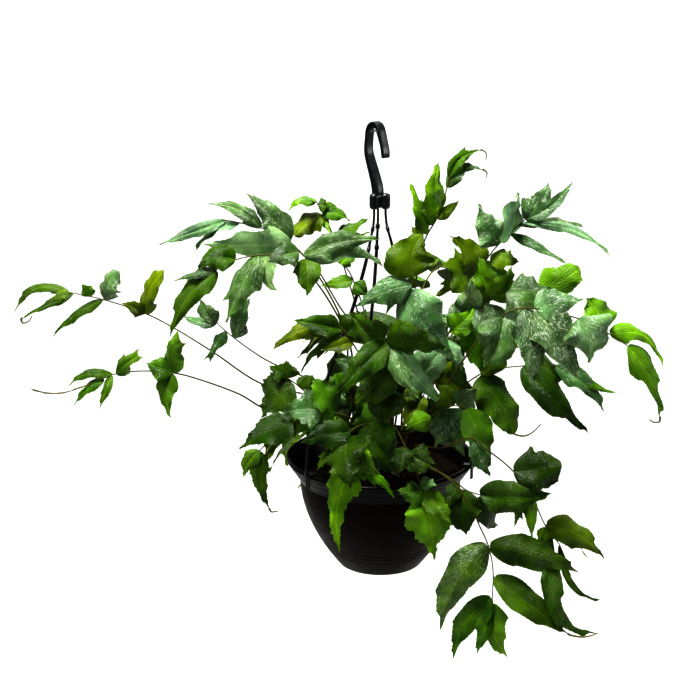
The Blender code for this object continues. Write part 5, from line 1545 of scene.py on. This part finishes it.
def scatter_tree(name, shape):
    """A tree that scatters small crumbs or scales over the upper side of a mesh."""
    tree, given = open_tree(name, "Scattered", (
        ("Ground", "Geometry", None), ("Density", "Float", 1000.0), ("Size", "Float", 2 * MM),
        ("Length", "Float", 6 * MM), ("Tilt", "Float", 1.0), ("Seed", "Int", 7),
        ("Material", "Material", None)))
    facing = node(tree, "GeometryNodeInputNormal")
    normal = node(tree, "ShaderNodeSeparateXYZ", {"Vector": facing.outputs[0]})
    upper = node(tree, "FunctionNodeCompare", {"A": normal.outputs["Z"], "B": LEAST_RISE},
                 data_type="FLOAT", operation="GREATER_THAN")
    spread = node(tree, "GeometryNodeDistributePointsOnFaces",
                  {"Mesh": given["Ground"], "Selection": upper.outputs["Result"],
                   "Density": given["Density"], "Seed": given["Seed"]})
    if shape == "crumb":
        grain = node(tree, "GeometryNodeMeshIcoSphere", {"Radius": given["Size"], "Subdivisions": 1})
        small, large = CRUMB_SHAPES
    else:
        grain = node(tree, "GeometryNodeMeshCone",
                     {"Vertices": 4, "Side Segments": 2, "Radius Top": 0.0,
                      "Radius Bottom": given["Size"], "Depth": given["Length"]})
        small, large = SCALE_SHAPES
    size = node(tree, "FunctionNodeRandomValue", {0: small, 1: large, "Seed": 3},
                data_type="FLOAT_VECTOR")
    tilt = given["Tilt"]
    back = node(tree, "ShaderNodeMath", {0: tilt, 1: -1.0}, operation="MULTIPLY").outputs[0]
    low = node(tree, "ShaderNodeCombineXYZ", {"X": back, "Y": back, "Z": -HALF_TURN})
    high = node(tree, "ShaderNodeCombineXYZ", {"X": tilt, "Y": tilt, "Z": HALF_TURN})
    turn = node(tree, "FunctionNodeRandomValue", {0: low.outputs[0], 1: high.outputs[0], "Seed": 5},
                data_type="FLOAT_VECTOR")
    tilted = node(tree, "FunctionNodeEulerToRotation", {"Euler": turn.outputs["Value"]})
    both = node(tree, "FunctionNodeRotateRotation",
                {"Rotation": spread.outputs["Rotation"], "Rotate By": tilted.outputs["Rotation"]},
                rotation_space="LOCAL")
    placed = node(tree, "GeometryNodeInstanceOnPoints",
                  {"Points": spread.outputs["Points"], "Instance": grain.outputs["Mesh"],
                   "Rotation": both.outputs["Rotation"], "Scale": size.outputs["Value"]})
    return close_tree(tree, placed.outputs["Instances"], given["Material"])


def scattered(name, ground, tree, values):
    """A plain mesh of what a scatter tree puts on a copy of the ground."""
    thing = run_tree(scene_object(name, ground.data.copy()), tree, values)
    thing.data.name = name
    return thing


def roughened(points, least_z, rise):
    """Points whose height above a level grows by what a rule gives for their place and height."""
    return [(x, y, z + rise(Vector((x, y, 0)), z)) if z > least_z else (x, y, z) for x, y, z in points]


def make_compost(pot, soil, material):
    """The compost with its loose crumbs."""
    inner = pot_hollow(pot)
    (wide, high), (narrow, low) = inner[-2], inner[-3]
    edge = narrow + (wide - narrow) * (COMPOST_Z - low) / (high - low) - COMPOST_INSET
    profile = [(0.0, COMPOST_Z)]
    profile += [(edge * step / COMPOST_RINGS, COMPOST_Z) for step in range(1, COMPOST_RINGS)]
    profile.append((edge, COMPOST_Z - 1.5 * MM))
    below = [(radius, z) for radius, z in reversed(inner[:-2]) if z < COMPOST_Z - 4 * MM]
    profile += [(radius - COMPOST_INSET, z + GAP) for radius, z in below]
    profile.append((0.0, inner[0][1] + GAP))
    points, faces = turned_points(profile, 84)

    def rise(spot, _):
        """The compost's lumps, which are the same at any height."""
        return 2.6 * MM * noise(spot * 45) + 1.2 * MM * noise(spot * 160) + 0.5 * MM * noise(spot * 420)

    points = roughened(points, COMPOST_Z - 1 * MM, rise)
    ground = mesh_object("compost_surface", points, faces, [material])
    smooth_shade(ground, 50)
    crumbs = scattered("compost_crumbs", ground, scatter_tree("crumbs_on_compost", "crumb"),
                       {"Density": soil.crumbs, "Size": soil.crumb_size, "Tilt": 1.2, "Seed": soil.seed,
                        "Material": material})
    finish_piece(ground, "compost", "potting_compost")
    finish_piece(crumbs, "compost")


def make_crown(soil, material):
    """The scaly crown that the stalks rise from, with a swelling at each stalk's foot."""
    feet = [Vector((route[0].x, route[0].y, 0)) for _, _, route, _ in packed_fronds()]
    floor = COMPOST_Z + GAP
    profile = [(0.0, floor + CROWN_HEIGHT)]
    for step in range(1, 26):
        angle = radians(90 - 88 * step / 25)
        profile.append((CROWN_RADIUS * cos(angle), floor + CROWN_HEIGHT * sin(angle)))
    profile += [(CROWN_RADIUS * 0.98, floor), (0.0, floor)]
    points, faces = turned_points(profile, 72)

    def rise(spot, z):
        """The crown's lumps, which fade out at its edge."""
        near = min((foot - spot).length for foot in feet)
        lump = 2.2 * MM * noise(spot * 60) + 1.0 * MM * noise(spot * 200)
        lump += STUB_HEIGHT * exp(-(near / STUB_RADIUS) ** 2)
        return min(1.0, (z - floor) / (4 * MM)) * lump

    points = roughened(points, floor + 0.1 * MM, rise)
    crown = mesh_object("crown_mound", points, faces, [material])
    smooth_shade(crown, 50)
    scales = scattered("crown_scales", crown, scatter_tree("scales_on_crown", "scale"),
                       {"Density": soil.scales, "Size": 1.1 * MM, "Length": soil.scale_length,
                        "Tilt": 1.0, "Seed": soil.seed + 1, "Material": material})
    finish_piece(crown, "crown_scales", "fern_crown")
    finish_piece(scales, "crown_scales")


def new_material(name):
    """A material with an empty node tree, and that tree with its object's own coordinates in metres."""
    material = bpy.data.materials.new(name)
    material.use_nodes = True
    tree = material.node_tree
    tree.nodes.clear()
    return material, tree, node(tree, "ShaderNodeTexCoord").outputs["Object"]


def math_node(tree, operation, first, second=0.0, third=0.0):
    """The output of a Math node."""
    return node(tree, "ShaderNodeMath", {0: first, 1: second, 2: third}, operation=operation).outputs[0]


def times(tree, first, second):
    """A value times another."""
    return math_node(tree, "MULTIPLY", first, second)


def times_plus(tree, first, second, third):
    """A value times another, plus a third."""
    return math_node(tree, "MULTIPLY_ADD", first, second, third)


def wave(tree, value, period):
    """A wave between -1 and 1 that comes back after each period of a value."""
    return math_node(tree, "SINE", times(tree, value, tau / period))


def attribute(tree, name):
    """The mesh's own values of this name."""
    return node(tree, "ShaderNodeAttribute", attribute_name=name).outputs["Vector"]


def split(tree, vector):
    """The three values of a vector."""
    return tuple(node(tree, "ShaderNodeSeparateXYZ", {0: vector}).outputs)


def scaled(colour, share):
    """A darker or lighter colour."""
    return tuple(share * part for part in colour)


def mixed(tree, share, first, second, blend="MIX"):
    """The output of a colour Mix node; a plain colour is three numbers."""
    first, second = [value if isinstance(value, bpy.types.NodeSocket) else (*value, 1.0)
                     for value in (first, second)]
    made = node(tree, "ShaderNodeMix", {0: share, 6: first, 7: second}, data_type="RGBA",
                blend_type=blend)
    return made.outputs[2]


def toned(tree, colour, tone):
    """A colour whose red, green and blue are multiplied by a tone's."""
    return mixed(tree, 1.0, colour, tone, "MULTIPLY")


def ranged(tree, value, low, high, to_low=0.0, to_high=1.0, soft=True):
    """A value taken from one range to another."""
    made = node(tree, "ShaderNodeMapRange",
                {"Value": value, "From Min": low, "From Max": high, "To Min": to_low, "To Max": to_high},
                interpolation_type="SMOOTHSTEP" if soft else "LINEAR")
    return made.outputs["Result"]


def cloud(tree, vector, scale, detail=3.0, roughness=0.55):
    """The value of a Noise Texture."""
    made = node(tree, "ShaderNodeTexNoise",
                {"Vector": vector, "Scale": scale, "Detail": detail, "Roughness": roughness})
    return made.outputs[0]


def bumped(tree, height, distance, strength=0.6):
    """A bumped normal."""
    made = node(tree, "ShaderNodeBump", {"Strength": strength, "Distance": distance, "Height": height})
    return made.outputs["Normal"]


def shaded(tree, colour, roughness, normal=None, shine=0.5):
    """The output of a Principled shader with this much shine."""
    shader = node(tree, "ShaderNodeBsdfPrincipled",
                  {"Base Color": colour, "Roughness": roughness, "Specular IOR Level": shine})
    if normal is not None:
        tree.links.new(normal, shader.inputs["Normal"])
    return shader.outputs[0]


def shown(tree, shader):
    """Join a shader to the output."""
    node(tree, "ShaderNodeOutputMaterial", {"Surface": shader})


def blade_material(name, shine, rough_low, rough_high):
    """Fern leaflets: veins, a pale midrib, painted sheen streaks, painted glints and a paler underside.
    """
    material, tree, place = new_material(name)
    tint = attribute(tree, "tint")
    blade = attribute(tree, "blade")
    across, along, to_edge = split(tree, blade)
    # Shares of painted sheen and glints, of stripes and of the underside's look
    painted_sheen_share, stripe_share, under = split(tree, attribute(tree, "painted_sheen_and_stripes"))
    wander = cloud(tree, blade, 1.3, 2.0)
    slant = times_plus(tree, across, -1.25, along)
    line = times_plus(tree, wander, 0.5, slant)
    veins = wave(tree, line, VEIN_STEP)
    coarse = wave(tree, line, RIDGE_STEP)
    streak_place = node(tree, "ShaderNodeCombineXYZ",
                        {"X": times(tree, line, 3.2), "Y": times(tree, across, 2.3)})
    streaks = cloud(tree, streak_place.outputs[0], 1.9, 3.0, 0.6)
    patches = cloud(tree, blade, 0.62, 1.0)
    broad = cloud(tree, place, 34.0, 3.0)
    fine = cloud(tree, place, 900.0, 2.0)
    colour = mixed(tree, ranged(tree, broad, 0.32, 0.68), toned(tree, tint, DARK_TONE),
                   toned(tree, tint, LIGHT_TONE))
    vein_share = ranged(tree, veins, 0.2, 1.0, 0.0, 0.34)
    colour = mixed(tree, vein_share, colour, toned(tree, colour, VEIN_TONE))
    # Yellow stripes between the veins of some leaflets: painted light shining through the blade between
    # its veins
    rows = times_plus(tree, math_node(tree, "ABSOLUTE", across), -0.8, times(tree, along, 0.16))
    rows = wave(tree, times_plus(tree, wander, 0.35, rows), STRIPE_STEP)
    bands = times(tree, ranged(tree, rows, -0.2, 0.9), stripe_share)
    colour = mixed(tree, times(tree, bands, 0.5), colour, STRIPE_YELLOW)
    # A painted cream sheen in streaks along the veins, and painted glints in spots
    painted_sheen = times(tree, ranged(tree, streaks, 0.52, 0.60), ranged(tree, patches, 0.40, 0.56))
    colour = mixed(tree, times(tree, times(tree, painted_sheen, painted_sheen_share), 0.6), colour, PAINTED_SHEEN_CREAM)
    painted_glints = node(tree, "ShaderNodeTexVoronoi", {"Vector": blade, "Scale": 5.5, "Randomness": 1.0},
                 feature="F1").outputs["Distance"]
    painted_glints = times(tree, ranged(tree, painted_glints, 0.26, 0.14), ranged(tree, patches, 0.66, 0.45))
    painted_glints = times(tree, painted_glints, ranged(tree, painted_sheen_share, 0.6, 1.0))
    colour = mixed(tree, times(tree, painted_glints, 0.8), colour, PAINTED_GLINT_CREAM)
    # A paler, flatter underside, a pale midrib and a pale edge
    colour = mixed(tree, times(tree, under, 0.45), colour, UNDERSIDE_GREEN)
    rib = ranged(tree, across, 0.07, 0.025)
    colour = mixed(tree, times(tree, rib, 0.9), colour, toned(tree, colour, RIB_TONE))
    edge_share = ranged(tree, to_edge, 0.95, 1.0, 0.0, 0.3)
    colour = mixed(tree, edge_share, colour, toned(tree, colour, EDGE_TONE))
    rough = ranged(tree, streaks, 0.3, 0.7, rough_high, rough_low, False)
    rough = times_plus(tree, under, 0.22, rough)
    height = times_plus(tree, veins, 0.3, times(tree, coarse, 0.22))
    height = times_plus(tree, fine, 0.25, height)
    height = times_plus(tree, streaks, 1.6, height)
    height = times_plus(tree, rib, -0.8, height)
    skin = shaded(tree, colour, rough, bumped(tree, height, 0.5 * MM, 0.8), shine)
    through = node(tree, "ShaderNodeBsdfTranslucent", {"Color": toned(tree, colour, GLOW_TONE)})
    both = node(tree, "ShaderNodeMixShader", {0: THROUGH_SHARE, 1: skin, 2: through.outputs[0]})
    shown(tree, both.outputs[0])
    return material


def stalk_material(settings):
    """Fern stalks: brown and scaly at the foot, tan-green towards the tip, streaked along."""
    material, tree, place = new_material("fern_stalk")
    _, along, _ = split(tree, attribute(tree, "blade"))
    blotch = cloud(tree, place, 160.0, 3.0)
    fine = cloud(tree, place, 1500.0, 2.0)
    share = times_plus(tree, blotch, 0.35, along)
    colour = mixed(tree, ranged(tree, share, 0.25, 0.95), settings.stalk_brown, settings.stalk_green)
    colour = mixed(tree, ranged(tree, fine, 0.35, 0.7, 0.0, 0.5), colour, STALK_SCALES)
    normal = bumped(tree, math_node(tree, "ADD", fine, blotch), 0.2 * MM, 0.6)
    shown(tree, shaded(tree, colour, ranged(tree, fine, 0.2, 0.8, 0.42, 0.7), normal, 0.12))
    return material


def plastic_material(name, colour, dust, roughness, shine, glossy_z):
    """Moulded black plastic: a faint grain, uneven gloss, a little dust, more gloss above a height."""
    material, tree, place = new_material(name)
    broad = cloud(tree, place, 22.0, 3.0)
    smear = cloud(tree, place, 110.0, 4.0, 0.6)
    grain = cloud(tree, place, 2600.0, 2.0)
    base = mixed(tree, ranged(tree, broad, 0.3, 0.7), scaled(colour, 0.75), scaled(colour, 1.3))
    base = mixed(tree, ranged(tree, smear, 0.56, 0.8, 0.0, 0.35), base, dust)
    high = ranged(tree, split(tree, place)[2], glossy_z - 2 * MM, glossy_z)
    base = mixed(tree, high, base, mixed(tree, 0.75, base, GLOSSY_BLACK))
    rough = ranged(tree, smear, 0.25, 0.75, roughness - 0.06, roughness + 0.12)
    rough = times_plus(tree, high, -0.16, rough)
    rough = math_node(tree, "ADD", rough, ranged(tree, grain, 0.3, 0.7, -0.03, 0.03))
    normal = bumped(tree, times_plus(tree, smear, 0.6, grain), 0.05 * MM, 0.5)
    shown(tree, shaded(tree, base, rough, normal, shine))
    return material


def soil_material(name, dark, light, scale):
    """Crumbly brown fibre: dark compost or the crown's warmer scales, with painted shade in their
    hollows.
    """
    material, tree, place = new_material(name)
    lumps = cloud(tree, place, scale, 5.0, 0.65)
    crumbs = cloud(tree, place, 5.0 * scale, 4.0, 0.7)
    fibres = node(tree, "ShaderNodeTexNoise",
                  {"Vector": place, "Scale": 2.4 * scale, "Detail": 4.0, "Distortion": 2.2}).outputs[0]
    colour = mixed(tree, ranged(tree, crumbs, 0.32, 0.68), dark, light)
    colour = mixed(tree, ranged(tree, fibres, 0.58, 0.66, 0.0, 0.55), colour, scaled(light, 2.1))
    # Painted shade where the lumps are low, as in their hollows
    colour = mixed(tree, ranged(tree, lumps, 0.55, 0.3, 0.0, 0.6), colour, SOIL_SHADE)
    normal = bumped(tree, times_plus(tree, crumbs, 0.6, lumps), 0.8 * MM, 0.9)
    shown(tree, shaded(tree, colour, ranged(tree, fibres, 0.3, 0.7, 0.95, 0.72), normal, 0.06))
    return material


def stage_material(settings):
    """The plain pale stage."""
    material, tree, place = new_material("stage_paper")
    cast = mixed(tree, ranged(tree, cloud(tree, place, 1.6, 2.0), 0.3, 0.7), settings.backdrop,
                 scaled(settings.backdrop, 0.985))
    shown(tree, shaded(tree, cast, 0.9))
    return material


def make_stage(settings):
    """A pale sweep from floor to wall."""
    floor = CAD_BOX[0][2] - settings.drop
    profile = rounded([(-2.6, floor), (3.0, floor), (3.0, floor + 5.5)], 1.6, 14)
    points = [(x, y, z) for y, z in profile for x in (-4.5, 4.5)]
    faces = [(corner, corner + 1, corner + 3, corner + 2) for corner in range(0, len(points) - 2, 2)]
    sweep_back = mesh_object("stage_sweep", points, faces, [stage_material(settings)])
    smooth_shade(sweep_back, 60)


def add_light(name, place, target, size, power, colour):
    """A square area light that looks at a target."""
    lamp = bpy.data.lights.new(name, "AREA")
    lamp.shape = "SQUARE"
    lamp.size = size
    lamp.energy = power
    lamp.color = colour
    thing = scene_object(name, lamp)
    thing.location = place
    thing.rotation_euler = (Vector(target) - Vector(place)).to_track_quat("-Z", "Y").to_euler()


def make_lights(settings):
    """Soft studio light: a light above, a weaker one on each side and one that lights the wall."""
    middle = (0.0, 0.0, -0.3)
    add_light("overhead_softbox", (-0.35, -0.25, 1.5), middle, 0.5, settings.key_power, (1.0, 1.0, 0.98))
    add_light("left_softbox", (-1.7, -1.5, 0.9), middle, 0.9, settings.fill_power, (1.0, 0.99, 0.96))
    add_light("right_softbox", (1.8, -0.2, 0.15), (0.0, 0.0, 0.0), 0.7, settings.side_power,
              (0.95, 0.98, 1.0))
    add_light("wall_softbox", (0.0, 1.3, 1.7), (0.0, 3.0, -0.4), 1.6, settings.wall_power,
              (1.0, 1.0, 1.0))
    world = bpy.data.worlds.new("studio")
    world.use_nodes = True
    backing = world.node_tree.nodes["Background"]
    backing.inputs["Color"].default_value = (0.94, 0.97, 1.0, 1.0)
    backing.inputs["Strength"].default_value = settings.surround
    bpy.context.scene.world = world
    bpy.context.scene.view_settings.view_transform = "Standard"
    bpy.context.scene.view_settings.look = "High Contrast"


def make_camera():
    """The camera at the photograph's viewing angle."""
    eye, right, up, forward = view_axes()
    lens = bpy.data.cameras.new("front_camera")
    lens.sensor_width = SENSOR_WIDTH
    lens.lens = SENSOR_WIDTH * VIEW_DISTANCE / (VIEW_SIZE * VIEW_PIXEL)
    lens.clip_end = 20.0
    camera = scene_object("front_camera", lens)
    turn = Matrix((right, up, -forward)).transposed()
    camera.matrix_world = Matrix.Translation(eye - HANG_PLACE) @ turn.to_4x4()
    bpy.context.scene.camera = camera


class HangingFernPot(bpy.types.Operator):
    """Make the black bowl."""

    bl_idname = "hanging_fern.pot"
    bl_label = "Make pot"

    def execute(self, context):
        settings = context.scene.fern_pot
        plastic = plastic_material("bowl_plastic", settings.pot_colour, POT_DUST, 0.5, 0.06,
                                   RIM_Z - COLLAR_DROP)
        make_pot(settings, plastic)
        return {"FINISHED"}


class HangingFernHook(bpy.types.Operator):
    """Make the hook and its hub."""

    bl_idname = "hanging_fern.hook"
    bl_label = "Make hook"

    def execute(self, context):
        colour = context.scene.fern_pot.hook_colour
        make_hook(plastic_material("hook_plastic", colour, HOOK_DUST, 0.32, 0.4, ABOVE_ALL))
        return {"FINISHED"}


class HangingFernStrands(bpy.types.Operator):
    """Make the three strands with their clips."""

    bl_idname = "hanging_fern.strands"
    bl_label = "Make strands"

    def execute(self, context):
        settings = context.scene.fern_pot
        colour = settings.hanger_colour
        plastic = plastic_material("strand_plastic", colour, STRAND_DUST, 0.45, 0.3, RIM_Z)
        make_strands(settings, plastic)
        return {"FINISHED"}


class HangingFernCompost(bpy.types.Operator):
    """Make the compost and its crumbs."""

    bl_idname = "hanging_fern.compost"
    bl_label = "Make compost"

    def execute(self, context):
        material = soil_material("potting_compost", *COMPOST_BROWNS_WITH_PAINTED_SHADE, 180.0)
        make_compost(context.scene.fern_pot, context.scene.fern_soil, material)
        return {"FINISHED"}


class HangingFernCrown(bpy.types.Operator):
    """Make the scaly crown."""

    bl_idname = "hanging_fern.crown"
    bl_label = "Make crown"

    def execute(self, context):
        make_crown(context.scene.fern_soil, soil_material("crown_fibre", *CROWN_BROWNS_WITH_PAINTED_SHADE, 260.0))
        return {"FINISHED"}


class HangingFernFronds(bpy.types.Operator):
    """Make every frond with its leaflets."""

    bl_idname = "hanging_fern.fronds"
    bl_label = "Make fronds"

    def execute(self, context):
        settings = context.scene.fern_leaf
        materials = [blade_material("fern_blade", 0.16, 0.19, 0.34), stalk_material(settings),
                     blade_material("fern_blade_glossy", 0.40, 0.20, 0.36)]
        for index, name, route, leaves in packed_fronds():
            make_frond(index, name, route, leaves, settings, materials)
        return {"FINISHED"}


class HangingFernStage(bpy.types.Operator):
    """Make the stage, the lights and the camera."""

    bl_idname = "hanging_fern.stage"
    bl_label = "Make stage"

    def execute(self, context):
        settings = context.scene.fern_stage
        make_stage(settings)
        make_lights(settings)
        make_camera()
        return {"FINISHED"}


class HangingFernPanel(bpy.types.Panel):
    """The fern's settings and makers."""

    bl_label = "Hanging fern"
    bl_idname = "VIEW3D_PT_hanging_fern"
    bl_space_type = "VIEW_3D"
    bl_region_type = "UI"
    bl_category = "Hanging fern"

    def draw(self, context):
        for group in (context.scene.fern_pot, context.scene.fern_leaf, context.scene.fern_soil,
                      context.scene.fern_stage):
            box = self.layout.box()
            for name in group.bl_rna.properties.keys():
                if name not in {"rna_type", "name"}:
                    box.prop(group, name)
        for maker in MAKERS:
            self.layout.operator(maker.bl_idname)


SETTINGS = {"fern_pot": FernPotSettings, "fern_leaf": FernLeafSettings, "fern_soil": FernSoilSettings,
            "fern_stage": FernStageSettings}
MAKERS = (HangingFernPot, HangingFernHook, HangingFernStrands, HangingFernCompost, HangingFernCrown,
          HangingFernFronds, HangingFernStage)


def register():
    """Register the settings, makers and panel."""
    for name, group in SETTINGS.items():
        bpy.utils.register_class(group)
        setattr(bpy.types.Scene, name, bpy.props.PointerProperty(type=group))
    for kind in (*MAKERS, HangingFernPanel):
        bpy.utils.register_class(kind)


def unregister():
    """Take them out again."""
    for kind in (HangingFernPanel, *reversed(MAKERS)):
        bpy.utils.unregister_class(kind)
    for name, group in SETTINGS.items():
        delattr(bpy.types.Scene, name)
        bpy.utils.unregister_class(group)


def main():
    """Make every piece and the stage."""
    register()
    bpy.ops.hanging_fern.pot()
    bpy.ops.hanging_fern.hook()
    bpy.ops.hanging_fern.strands()
    bpy.ops.hanging_fern.compost()
    bpy.ops.hanging_fern.crown()
    bpy.ops.hanging_fern.fronds()
    bpy.ops.hanging_fern.stage()


if __name__ == "__main__":
    main()
